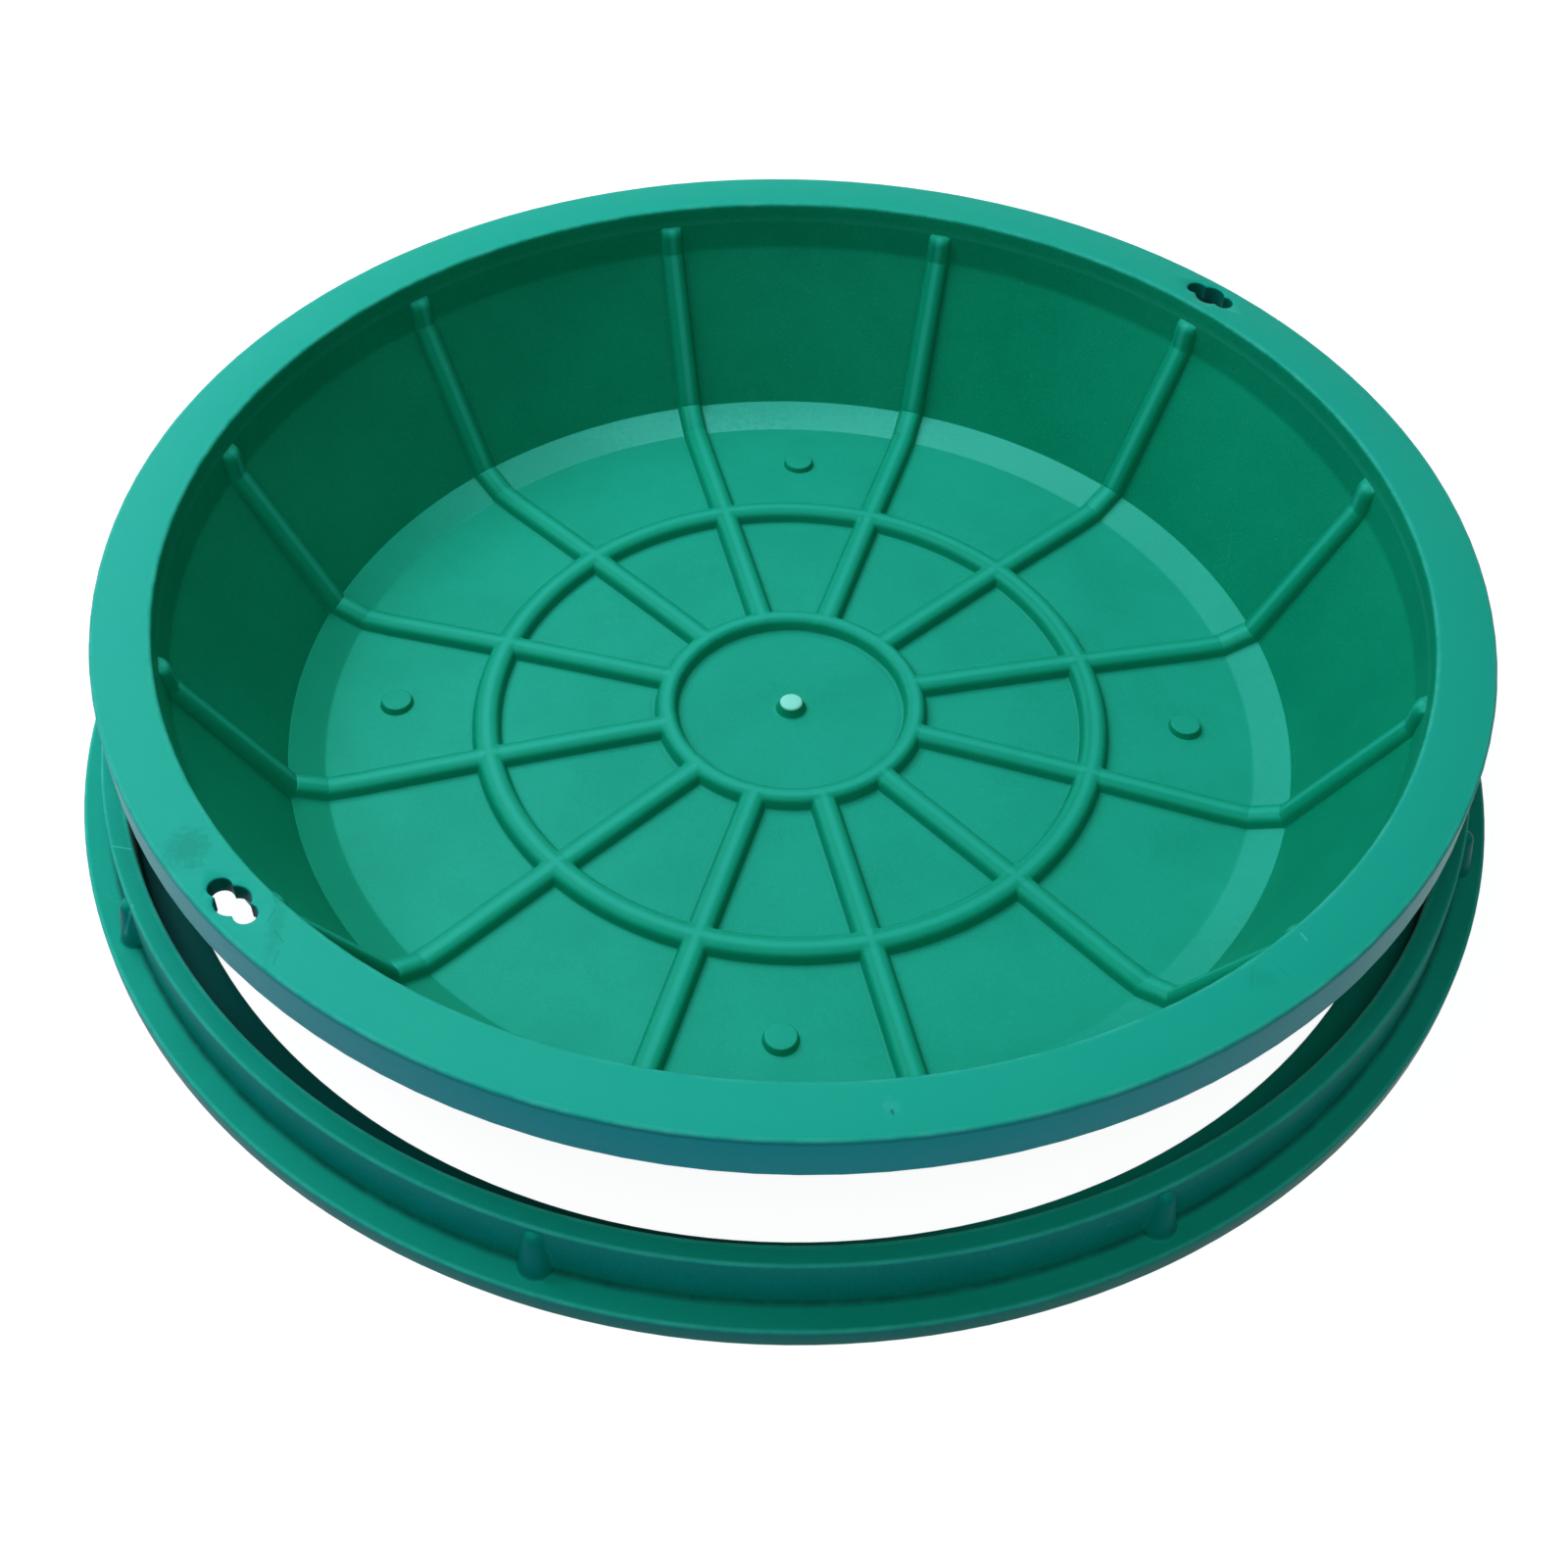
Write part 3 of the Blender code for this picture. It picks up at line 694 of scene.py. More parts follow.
def ring_points():
    """The ring's grid: the turned rows, then the pushed wall, its foot fillet and the flange."""
    azimuth, offset = ring_azimuths()
    top = RING_HEIGHT - RING_EDGE_ROUND
    foot = BASE_THICKNESS + UPSTAND_FILLET
    gusset_top = RING_HEIGHT - GUSSET["drop"]
    dome_rows = gusset_top - GUSSET["dome"] * (1 - np.sin(np.linspace(0, math.pi / 2, 8)))
    z = np.unique(np.concatenate([np.linspace(foot, top, 12), dome_rows]))[::-1]
    wall = UPSTAND_RADIUS - UPSTAND_DRAFT * (z - BASE_THICKNESS) / (RING_HEIGHT - BASE_THICKNESS)
    reach = gusset_reach(offset, z) - (wall[:, None] - UPSTAND_RADIUS + UPSTAND_DRAFT)
    blend = GUSSET["blend"]
    lift = np.maximum(reach, 0) + np.maximum(blend - np.abs(reach), 0) ** 2 / (4 * blend)
    fade = np.clip((gusset_top + 1 * MM - z) / (2 * MM), 0, 1)[:, None]
    wall_grid = wall[:, None] + lift * fade
    turn = np.linspace(0, math.pi / 2, 7)[1:, None]
    fillet_r = wall_grid[-1:] + UPSTAND_FILLET * (1 - np.cos(turn))
    fillet_z = BASE_THICKNESS + UPSTAND_FILLET * (1 - np.sin(turn))
    share = np.linspace(0, 1, 5)[1:-1, None]
    flange_end = ring_chain[0, 0]
    flange_r = fillet_r[-1:] + share * (flange_end - fillet_r[-1:])
    turned_r = ring_chain[:, :1] + np.zeros(len(azimuth))
    r = np.concatenate([turned_r, wall_grid[1:], fillet_r, flange_r])
    flange_z = np.full((len(share), 1), BASE_THICKNESS)
    heights = np.concatenate([ring_chain[:, 1:], z[1:, None], fillet_z, flange_z])
    return around(r, azimuth[None, :], heights)


ring = link(grid_mesh("ring_skin", ring_points()))
smooth_piece(ring, SHARP_ANGLE)
print("faces of the ring:", len(ring.data.polygons))

# %% [markdown]
# The compound is coloured all through, so there is no paint to chip. What the eye reads as its
# finish are slow clouds where the glass fibre lies thicker, a fine grain, pale scuffs and a lighter
# line along each rubbed edge, which is also a painted highlight, and each inner corner gets a line
# of painted shade. Each of these is a shader group that puts out masks. Both materials use the
# same groups with their own values, and the groups read Object coordinates, which are metres on
# the object itself.

# %% Short ways to add nodes


def add_node(tree, kind, inputs=None, **settings):
    """Add a shader node, set its settings, then link or set its inputs by name or number."""
    made = tree.nodes.new("ShaderNode" + kind)
    for key, value in settings.items():
        setattr(made, key, value)
    for key, value in (inputs or {}).items():
        if isinstance(value, bpy.types.NodeSocket):
            tree.links.new(value, made.inputs[key])
        else:
            made.inputs[key].default_value = value
    return made


def calc(tree, operation, *values, clamp=False):
    """The output of a Math node on sockets or numbers."""
    made = add_node(tree, "Math", dict(enumerate(values)), operation=operation, use_clamp=clamp)
    return made.outputs[0]


def times(tree, first, *others):
    """The product of several masks or numbers."""
    for other in others:
        first = calc(tree, "MULTIPLY", first, other)
    return first


def vector_calc(tree, operation, *values, out=0):
    """The output of a Vector Math node: 0 is the vector, 1 is the value."""
    made = add_node(tree, "VectorMath", dict(enumerate(values)), operation=operation)
    return made.outputs[out]


def parts_of(tree, vector):
    """The x, y and z of a vector."""
    return add_node(tree, "SeparateXYZ", {0: vector}).outputs


def radius_of(tree, vector):
    """Distance from the vertical axis."""
    parts = parts_of(tree, vector)
    flat = add_node(tree, "CombineXYZ", {0: parts[0], 1: parts[1]}).outputs[0]
    return vector_calc(tree, "LENGTH", flat, out=1)


def ramp_between(tree, value, low, high, start=0.0, end=1.0):
    """The start below the low value, the end above the high value, and a smooth step between."""
    inputs = {"Value": value, "From Min": low, "From Max": high, "To Min": start, "To Max": end}
    made = add_node(tree, "MapRange", inputs, interpolation_type="SMOOTHSTEP")
    return made.outputs["Result"]


def spread(tree, mask, low, high):
    """A mask from 0 to 1, spread evenly from low to high."""
    return add_node(tree, "MapRange", {"Value": mask, "To Min": low, "To Max": high}).outputs[0]


def mix_colour(tree, mask, base, over, blend="MIX"):
    """One colour laid over another where the mask is 1."""
    inputs = {0: mask, 6: base, 7: over}
    return add_node(tree, "Mix", inputs, data_type="RGBA", blend_type=blend).outputs[2]


def noise(tree, vector, scale, detail=2.0, roughness=0.5):
    """The value of a noise texture."""
    inputs = {"Vector": vector, "Scale": scale, "Detail": detail, "Roughness": roughness}
    return add_node(tree, "TexNoise", inputs).outputs[0]


def new_group(name, inputs, outputs):
    """An empty shader group with named sockets, and the nodes at its two ends."""
    group = bpy.data.node_groups.new(name, "ShaderNodeTree")
    for label, kind, value in inputs:
        socket = group.interface.new_socket(label, in_out="INPUT", socket_type="NodeSocket" + kind)
        socket.default_value = value
    for label in outputs:
        group.interface.new_socket(label, in_out="OUTPUT", socket_type="NodeSocketFloat")
    return group, group.nodes.new("NodeGroupInput").outputs, group.nodes.new("NodeGroupOutput").inputs


def use_group(tree, group, inputs):
    """Place a group in a material and give its outputs."""
    return add_node(tree, "Group", inputs, node_tree=group).outputs


def bare_material(name):
    """A new material with an empty node tree."""
    material = bpy.data.materials.new(name)
    material.use_nodes = True
    material.node_tree.nodes.clear()
    return material


# %% [markdown]
# The first group is the body of the compound. Noises of very different size give the slow clouds
# and the grain. One noise with much detail would tie the two sizes together, and then the grain
# could not be made finer without changing the clouds. Two more say where a rubbed edge is broken
# and how the border of a scuff is torn. They could sit in those groups, but then each edge and
# each scuff would work them out again, so they are made once here and handed on.

# %% Group: clouds and grain
ORIGIN = (0.0, 0.0, 0.0)


def make_mottle_group():
    """Five noises for the whole surface, each worked out once and used by all the other masks.

    Cloud is a slow noise spread to 0 to 1, Grain a fine one and Fleck a sparse bright grain. Patchy
    says where a rubbed edge is broken, and Torn goes from -0.5 to 0.5 to tear the borders of scuffs.
    """
    inputs = [("Vector", "Vector", ORIGIN), ("Cloud Size", "Float", 0.1), ("Grain Size", "Float", 0.001)]
    group, given, out = new_group("moulded_mottle", inputs, ["Cloud", "Grain", "Fleck", "Patchy", "Torn"])
    cloud_scale = calc(group, "DIVIDE", 1.0, given["Cloud Size"])
    grain_scale = calc(group, "DIVIDE", 1.0, given["Grain Size"])
    cloud = noise(group, given["Vector"], cloud_scale, detail=4.0, roughness=0.62)
    grain = noise(group, given["Vector"], grain_scale, detail=3.0, roughness=0.7)
    fleck = noise(group, given["Vector"], calc(group, "MULTIPLY", grain_scale, 0.45), detail=1.0)
    group.links.new(ramp_between(group, cloud, 0.32, 0.68), out["Cloud"])
    group.links.new(ramp_between(group, grain, 0.25, 0.75), out["Grain"])
    group.links.new(ramp_between(group, fleck, 0.66, 0.76), out["Fleck"])
    patchy = noise(group, given["Vector"], 45.0, 5.0, 0.7)
    group.links.new(ramp_between(group, patchy, 0.35, 0.62), out["Patchy"])
    torn = noise(group, given["Vector"], 240.0, 6.0, 0.75)
    group.links.new(calc(group, "SUBTRACT", torn, 0.5), out["Torn"])
    return group


mottle = make_mottle_group()

# %% [markdown]
# Edges get rubbed wherever something drags over them, and the pale line of a rubbed edge is also a
# painted highlight on its round. Every edge of this object is a circle round an axis, so the
# distance to that circle says how near a point is to the edge. The patchy noise comes in from the
# first group and breaks the line up. The same group with a dark colour makes a line of painted
# shade in an inner corner.

# %% Group: a line along a round edge


def make_edge_group():
    """1 on the circle (Radius, Height) and 0 from Width away, broken up where Patchy is high."""
    inputs = [
        ("Vector", "Vector", ORIGIN),
        ("Radius", "Float", 0.3),
        ("Height", "Float", 0.1),
        ("Width", "Float", 0.002),
        ("Broken", "Float", 0.5),
        ("Patchy", "Float", 0.0),
    ]
    group, given, out = new_group("edge_line", inputs, ["Mask"])
    height = parts_of(group, given["Vector"])[2]
    off = calc(group, "SUBTRACT", radius_of(group, given["Vector"]), given["Radius"])
    rise = calc(group, "SUBTRACT", height, given["Height"])
    away = vector_calc(group, "LENGTH", add_node(group, "CombineXYZ", {0: off, 1: rise}).outputs[0], out=1)
    near = calc(group, "SUBTRACT", 1.0, calc(group, "DIVIDE", away, given["Width"]), clamp=True)
    kept = calc(group, "SUBTRACT", 1.0, calc(group, "MULTIPLY", given["Broken"], given["Patchy"]))
    group.links.new(calc(group, "MULTIPLY", ramp_between(group, near, 0.0, 1.0), kept), out["Mask"])
    return group


edge_line = make_edge_group()

# %% [markdown]
# Scuffs and scratches have a place. A scuff is a soft patch whose border is torn by the noise that
# comes in from the first group. A scratch is a thin stroke between two points.

# %% Groups: a scuffed patch and a stroke


def make_scuff_group():
    """1 in the middle of a patch, falling off towards Size, with a border torn by a noise."""
    inputs = [
        ("Vector", "Vector", ORIGIN),
        ("Centre", "Vector", ORIGIN),
        ("Size", "Vector", (0.01, 0.01, 0.01)),
        ("Torn", "Float", 0.0),
    ]
    group, given, out = new_group("scuffed_patch", inputs, ["Mask"])
    local = vector_calc(group, "SUBTRACT", given["Vector"], given["Centre"])
    scaled = vector_calc(group, "DIVIDE", local, given["Size"])
    away = vector_calc(group, "LENGTH", scaled, out=1)
    reach = calc(group, "MULTIPLY_ADD", given["Torn"], 2.2, away)
    group.links.new(ramp_between(group, reach, 1.0, 0.25), out["Mask"])
    return group


def make_stroke_group():
    """1 on the straight stroke from Start to Start + Along, 0 from Width away."""
    inputs = [
        ("Vector", "Vector", ORIGIN),
        ("Start", "Vector", ORIGIN),
        ("Along", "Vector", (0.01, 0.0, 0.0)),
        ("Width", "Float", 0.0005),
    ]
    group, given, out = new_group("stroke", inputs, ["Mask"])
    local = vector_calc(group, "SUBTRACT", given["Vector"], given["Start"])
    dot = vector_calc(group, "DOT_PRODUCT", local, given["Along"], out=1)
    square = vector_calc(group, "DOT_PRODUCT", given["Along"], given["Along"], out=1)
    share = calc(group, "DIVIDE", dot, square, clamp=True)
    spread = add_node(group, "CombineXYZ", {0: share, 1: share, 2: share}).outputs[0]
    foot = vector_calc(group, "MULTIPLY", given["Along"], spread)
    away = vector_calc(group, "LENGTH", vector_calc(group, "SUBTRACT", local, foot), out=1)
    group.links.new(ramp_between(group, calc(group, "DIVIDE", away, given["Width"]), 1.0, 0.2), out["Mask"])
    return group


scuffed_patch = make_scuff_group()
stroke = make_stroke_group()

# %% [markdown]
# All over, the surface has hair-fine scratches in random directions. The places where a slow
# noise passes through one value are thin curved lines, so a narrow band round that value gives
# scratches without drawing any, and a second noise says where they are.

# %% Group: hair scratches


def make_scratch_group():
    """1 where a stretched noise is nearly one half, kept only where a second noise is high."""
    inputs = [("Vector", "Vector", ORIGIN), ("Scale", "Float", 20.0), ("Share", "Float", 0.5)]
    group, given, out = new_group("hair_scratches", inputs, ["Mask"])
    stretched = vector_calc(group, "MULTIPLY", given["Vector"], (1.0, 2.6, 1.4))
    lines = noise(group, stretched, given["Scale"], 1.5, 0.4)
    off = calc(group, "ABSOLUTE", calc(group, "SUBTRACT", lines, 0.5))
    thin = ramp_between(group, off, 0.006, 0.0015)
    where = noise(group, given["Vector"], calc(group, "MULTIPLY", given["Scale"], 0.9), 3.0, 0.6)
    floor = calc(group, "SUBTRACT", 1.0, given["Share"])
    group.links.new(calc(group, "MULTIPLY", thin, ramp_between(group, where, floor, 0.85)), out["Mask"])
    return group


hair_scratches = make_scratch_group()
print("shader groups:", sorted(group.name for group in bpy.data.node_groups))

# %% [markdown]
# Both greens are sea greens, the frame's a little deeper. A coat starts with its tints and clouds,
# lays its worn places, painted highlights and painted shade over them one by one, and ends in one
# Principled shader. Faces that look up carry a pale painted sheen, and the sides outside a given
# radius have a tint of their own: a painted bluish reflection on the cover's skirt and painted
# shade on the frame's outer sides. The gloss is weak, broad and cool: only a soft sheen shows on
# the rounded edges. A coat is a small class, because every step needs the same tree, place and
# noises.

# %% The two greens
GRAIN_SIZE = 1.1 * MM
FLECK_STRENGTH = 0.25
# Tilts at which the painted sheen on faces that look up starts and is full.
SHEEN_STARTS = math.cos(math.radians(60))
SHEEN_FULL = math.cos(math.radians(25))
SHEEN_CLOUDS = (0.8, 1.0)
SHEEN_GRAIN = (0.75, 1.0)
WORN_ROUGHER = 0.12
WAVE_SCALE = 95.0
WAVE_SHARE = 1.5
BUMP_STRENGTH = 0.35
BUMP_HEIGHT = 0.12 * MM
COOL_SHEEN = (0.30, 0.85, 1.0)


def rgba(red, green, blue):
    """A colour as a shader socket takes it."""
    return (red, green, blue, 1.0)


class Coat:
    """A material in the making: its tree, its noises, where a point lies and the colour so far.

    The place is measured from the piece's own axis, so every round edge is a circle about zero.
    """

    def __init__(self, name, axis, cloud_size, grain_shades, tints):
        """Start with clouds, grain and flecks in the given tints."""
        self.material = bare_material(name)
        self.tree = self.material.node_tree
        given = add_node(self.tree, "TexCoord").outputs
        self.normal = given["Normal"]
        moved = {"Vector": given["Object"], "Location": (-axis[0], -axis[1], 0)}
        self.place = add_node(self.tree, "Mapping", moved).outputs[0]
        self.x, self.y, self.z = parts_of(self.tree, self.place)
        self.radius = radius_of(self.tree, self.place)
        sizes = {"Vector": self.place, "Cloud Size": cloud_size, "Grain Size": GRAIN_SIZE}
        self.noises = use_group(self.tree, mottle, sizes)
        self.wear_and_highlight = 0.0
        dark, light, fleck = tints
        colour = mix_colour(self.tree, self.noises["Cloud"], rgba(*dark), rgba(*light))
        shade = spread(self.tree, self.noises["Grain"], *grain_shades)
        grainy = add_node(self.tree, "CombineColor", {0: shade, 1: shade, 2: shade}).outputs[0]
        self.colour = mix_colour(self.tree, 1.0, colour, grainy, "MULTIPLY")
        self.lay(self.noises["Fleck"], FLECK_STRENGTH, fleck)

    def lay(self, mask, strength, tint):
        """Lay a tint over the colour where a mask is high."""
        share = times(self.tree, mask, strength)
        self.colour = mix_colour(self.tree, share, self.colour, rgba(*tint))

    def ramp(self, value, low, high):
        """0 below the low value, 1 above the high value and a smooth step between them."""
        return ramp_between(self.tree, value, low, high)

    def towards(self, direction):
        """How far a point lies in a direction, in metres."""
        return vector_calc(self.tree, "DOT_PRODUCT", self.place, direction, out=1)

    def off(self, value, middle):
        """The distance of a value from a middle one."""
        return calc(self.tree, "ABSOLUTE", calc(self.tree, "SUBTRACT", value, middle))

    def kept(self, name):
        """A value that the mesh keeps at its vertices."""
        return add_node(self.tree, "Attribute", attribute_name=name).outputs["Fac"]

    def mask(self, group, values):
        """The mask that a shader group gives on this piece."""
        return use_group(self.tree, group, {"Vector": self.place, **values})["Mask"]

    def edge(self, radius, height, width, broken):
        """The mask of a line along a round edge of the piece."""
        values = {"Radius": radius, "Height": height, "Width": width, "Broken": broken}
        return self.mask(edge_line, {**values, "Patchy": self.noises["Patchy"]})

    def patch(self, centre, size):
        """The mask of a soft patch, in mm."""
        values = {"Centre": np.array(centre) * MM, "Size": np.array(size) * MM}
        return self.mask(scuffed_patch, {**values, "Torn": self.noises["Torn"]})

    def add_wear_and_highlight(self, mask, strength):
        """Add to the pale places so far: rubbed edges, whose line is also a painted highlight, and painted
        highlights. Where two meet, the higher mask stays.
        """
        self.wear_and_highlight = calc(self.tree, "MAXIMUM", times(self.tree, mask, strength), self.wear_and_highlight)

    def add_painted_sheen(self, outside, tint, painted_side_tint):
        """Paint light: a tint on the sides outside a radius, then a pale sheen on level faces.

        A face gets none of the sheen at a tilt of 60 degrees and all of it at 25. The side tint is a
        bluish reflection on the cover and shade on the frame.
        """
        self.lay(self.ramp(self.radius, outside, outside + 1 * MM), 1.0, painted_side_tint)
        painted_sheen_mask = self.ramp(parts_of(self.tree, self.normal)[2], SHEEN_STARTS, SHEEN_FULL)
        cloudy = spread(self.tree, self.noises["Cloud"], *SHEEN_CLOUDS)
        grainy = spread(self.tree, self.noises["Grain"], *SHEEN_GRAIN)
        self.lay(times(self.tree, painted_sheen_mask, cloudy, grainy), 1.0, tint)

    def add_marks(self, patches, strokes):
        """Lay soft patches (centre, size) and strokes (start, along, width) over it, in mm."""
        for centre, size, strength, tint in patches:
            self.lay(self.patch(centre, size), strength, tint)
        for start, along, width, strength, tint in strokes:
            values = {"Start": np.array(start) * MM, "Along": np.array(along) * MM, "Width": width * MM}
            self.lay(self.mask(stroke, values), strength, tint)

    def finish(self, roughness, sheen):
        """End in one Principled shader: roughness from grain and the worn and highlighted places, a fine
        bump, a cool sheen.
        """
        tree, grain = self.tree, self.noises["Grain"]
        rough = calc(tree, "MULTIPLY_ADD", self.wear_and_highlight, WORN_ROUGHER, spread(tree, grain, *roughness))
        waves = noise(tree, self.place, WAVE_SCALE, 3.0, 0.5)
        height = calc(tree, "MULTIPLY_ADD", waves, WAVE_SHARE, grain)
        relief = {"Height": height, "Strength": BUMP_STRENGTH, "Distance": BUMP_HEIGHT}
        bump = add_node(tree, "Bump", relief).outputs[0]
        inputs = {"Base Color": self.colour, "Roughness": rough, "Normal": bump}
        shader = add_node(tree, "BsdfPrincipled", inputs)
        shader.inputs["Specular IOR Level"].default_value = sheen
        shader.inputs["Specular Tint"].default_value = rgba(*COOL_SHEEN)
        add_node(tree, "OutputMaterial", {"Surface": shader.outputs[0]})
        return self.material


# %% [markdown]
# On the cover the stud in the middle is rubbed to a pale mint: it stands alone inside the inner
# ring, so all that drags over the floor meets it. The rim's edges are rubbed pale, and their pale
# line is also a painted highlight on the rounds, with a line of painted shade just under the rim's
# outer edge. The domed tops of the rib heads and a narrow line along each rib's crest carry a
# painted highlight, and the chamfer has a painted sheen at the back and on the right and painted
# shade towards the front left. Painted shade lies at the feet of the ribs and on the walls of the
# lifting holes, and the scuffs and strokes of the photograph are each put in their own place. A
# picture wrapped over the basin could hold all this, but its grain would stretch up the wall, and
# a mask in metres stays sharp.
#
# Each table below lists marks of one kind. An edge is a radius, a height, a width and how broken it
# is, and the rubbed ones also have a strength. A patch is its centre and half its size each way. A
# stroke is its start, the way to its end and half its width. Both are in millimetres from the
# cover's axis, with a strength and a tint.

# %% The cover's material
COVER_TINTS = ((0.001, 0.205, 0.103), (0.002, 0.230, 0.117), (0.02, 0.31, 0.19))
# Painted sheen: a paler green laid on the cover's faces that look up.
COVER_PAINTED_SHEEN = (0.012, 0.345, 0.232)
# Pale of rubbed places and scuffs, also used for painted highlights and painted sheen.
PALE_WEAR_AND_HIGHLIGHT = (0.08, 0.52, 0.41)
STUD_MINT = (0.28, 0.78, 0.62)
# Painted bluish reflection on the cover's faces outside the rim's inner edge, such as the skirt.
SKIRT_PAINTED_REFLECTION = (0.002, 0.330, 0.265)
# A plainer green for the ribs, which keeps the painted sheen off them.
RIB_GREEN = (0.002, 0.275, 0.150)
# Painted highlight along the ribs' crests.
CREST_PAINTED_HIGHLIGHT = (0.03, 0.46, 0.35)
# Dark green for painted shade at the rib feet, under the rim and in the frame's corners, and for one small
# dark mark on the rim.
DIRT_AND_SHADE = (0.002, 0.05, 0.04)
DEEP_GREEN = (0.003, 0.17, 0.115)
HOLE_SHADE = (0.0, 0.06, 0.035)
# Pale rubbed edges; the pale line is also a painted highlight on the rounded edge.
COVER_WEAR_AND_HIGHLIGHT_EDGES = (
    (COVER_RADIUS - 0.8 * MM, COVER_HEIGHT - 0.6 * MM, 2.2 * MM, 0.8, 0.45),
    (rim_inner + 0.9 * MM, COVER_HEIGHT - 0.7 * MM, 2.4 * MM, 0.9, 0.3),
    (COVER_RADIUS - 1 * MM, skirt_foot_z + 0.4 * MM, 1.8 * MM, 0.6, 0.2),
)
# A line of painted shade just under the rim's outer edge.
UNDER_RIM_SHADE = (COVER_RADIUS, COVER_HEIGHT - 2 * MM, 1.7 * MM, 0.2)
COVER_SCRATCHES = {"Scale": 26.0, "Share": 0.48}
# The side where the chamfer gets a painted sheen; the opposite side gets painted shade.
CHAMFER_SHEEN_SIDE = (0.64, 0.77, 0.0)
CHAMFER_SHEEN_PATCHES = (
    ((-70, 255, 12), (95, 30, 20), 0.40),
    ((25, 264, 12), (90, 28, 20), 0.32),
)
COVER_PATCHES = (
    ((-281, -221, 134), (15, 17, 9), 0.42, DEEP_GREEN),
    ((-231, -265, 134), (5, 24, 9), 0.22, DEEP_GREEN),
    ((231, -246, 132), (6, 5, 9), 0.45, PALE_WEAR_AND_HIGHLIGHT),
    ((216, -278, 134), (11, 7, 9), 0.14, DEEP_GREEN),
    ((48, -352, 134), (5, 7, 9), 0.14, PALE_WEAR_AND_HIGHLIGHT),
)
COVER_STROKES = (
    ((-238, -243, 134), (5, -9, 0), 0.5, 0.55, DEEP_GREEN),
    ((-233, -255, 134), (-2, -8, 0), 0.5, 0.50, DEEP_GREEN),
    ((-231, -268, 134), (5, -6, 0), 0.5, 0.55, DEEP_GREEN),
    ((-227, -279, 134), (-1, -8, 0), 0.5, 0.45, DEEP_GREEN),
    ((237, -251, 134), (2, -4, 0), 0.8, 0.60, PALE_WEAR_AND_HIGHLIGHT),
    ((213, -270, 134), (-3, -12, 0), 0.8, 0.16, DEEP_GREEN),
    ((222, -268, 134), (6, -8, 0), 0.6, 0.16, DEEP_GREEN),
    ((48, -354, 134), (0.6, -1.5, 0), 1.0, 0.60, DIRT_AND_SHADE),
)


def chamfer_band(coat):
    """1 on the chamfer at the foot of the wall, and 0 on the ribs that cross it and elsewhere."""
    past_foot = coat.ramp(coat.radius, floor_edge - 0.5 * MM, floor_edge + 0.5 * MM)
    before_top = coat.ramp(coat.radius, chamfer_edge + 0.2 * MM, chamfer_edge - 0.8 * MM)
    low = coat.ramp(coat.z, chamfer_top + 2.5 * MM, chamfer_top + 0.5 * MM)
    off_ribs = coat.ramp(coat.kept("relief"), 0.9 * MM, 0.1 * MM)
    return times(coat.tree, past_foot, before_top, low, off_ribs)


def paint_chamfer_light(coat):
    """Paint a sheen on the chamfer at the back and on one side, and painted shade in the darkest tint on
    the other side.
    """
    chamfer = chamfer_band(coat)
    side = coat.towards(CHAMFER_SHEEN_SIDE)
    # Painted sheen on one side and at the back, and painted shade in the darkest tint on the other side.
    for where, start, full, strength, tint in (
        (side, -0.09, 0.06, 0.14, PALE_WEAR_AND_HIGHLIGHT),
        (coat.y, 0.15, 0.25, 0.30, PALE_WEAR_AND_HIGHLIGHT),
        (side, -0.06, -0.14, 0.60, COVER_TINTS[0]),
    ):
        coat.lay(times(coat.tree, chamfer, coat.ramp(where, start, full)), strength, tint)
    # Painted sheen in patches on the chamfer at the back.
    for centre, size, strength in CHAMFER_SHEEN_PATCHES:
        coat.lay(times(coat.tree, coat.patch(centre, size), chamfer), strength, PALE_WEAR_AND_HIGHLIGHT)


def hole_walls(coat):
    """1 on the walls of the lifting holes, just below the rim's face."""
    below = coat.ramp(coat.z, COVER_HEIGHT - 0.3 * MM, COVER_HEIGHT - 1.2 * MM)
    within = coat.ramp(coat.off(coat.radius, LIFT_HOLE_CIRCLE), 10.5 * MM, 9.5 * MM)
    near = 0.0
    for azimuth in LIFT_HOLE_AZIMUTHS:
        middle = (*(LIFT_HOLE_CIRCLE * np.array([math.cos(azimuth), math.sin(azimuth)])), COVER_HEIGHT)
        away = vector_calc(coat.tree, "DISTANCE", coat.place, middle, out=1)
        near = calc(coat.tree, "MAXIMUM", coat.ramp(away, 21 * MM, 19 * MM), near)
    return times(coat.tree, near, below, within)


def from_rib_middle(coat):
    """How far a point is from the middle line of the nearest radial rib or ring rib.

    The azimuth folded back and forth over half a sector is the angle to the nearest radial rib.
    Inside the inner ring no radial rib runs, so the distance to one is made large there.
    """
    tree = coat.tree
    azimuth = calc(tree, "SUBTRACT", calc(tree, "ARCTAN2", coat.y, coat.x), FIRST_RIB)
    folded = calc(tree, "PINGPONG", azimuth, math.pi / RIB_COUNT)
    aside = times(tree, coat.radius, calc(tree, "SINE", folded))
    beyond = times(tree, coat.ramp(coat.radius, INNER_RING, INNER_RING - 1 * MM), 0.1)
    nearest = calc(tree, "ADD", aside, beyond)
    for ring_radius in (INNER_RING, outer_ring):
        nearest = calc(tree, "MINIMUM", nearest, coat.off(coat.radius, ring_radius))
    return nearest


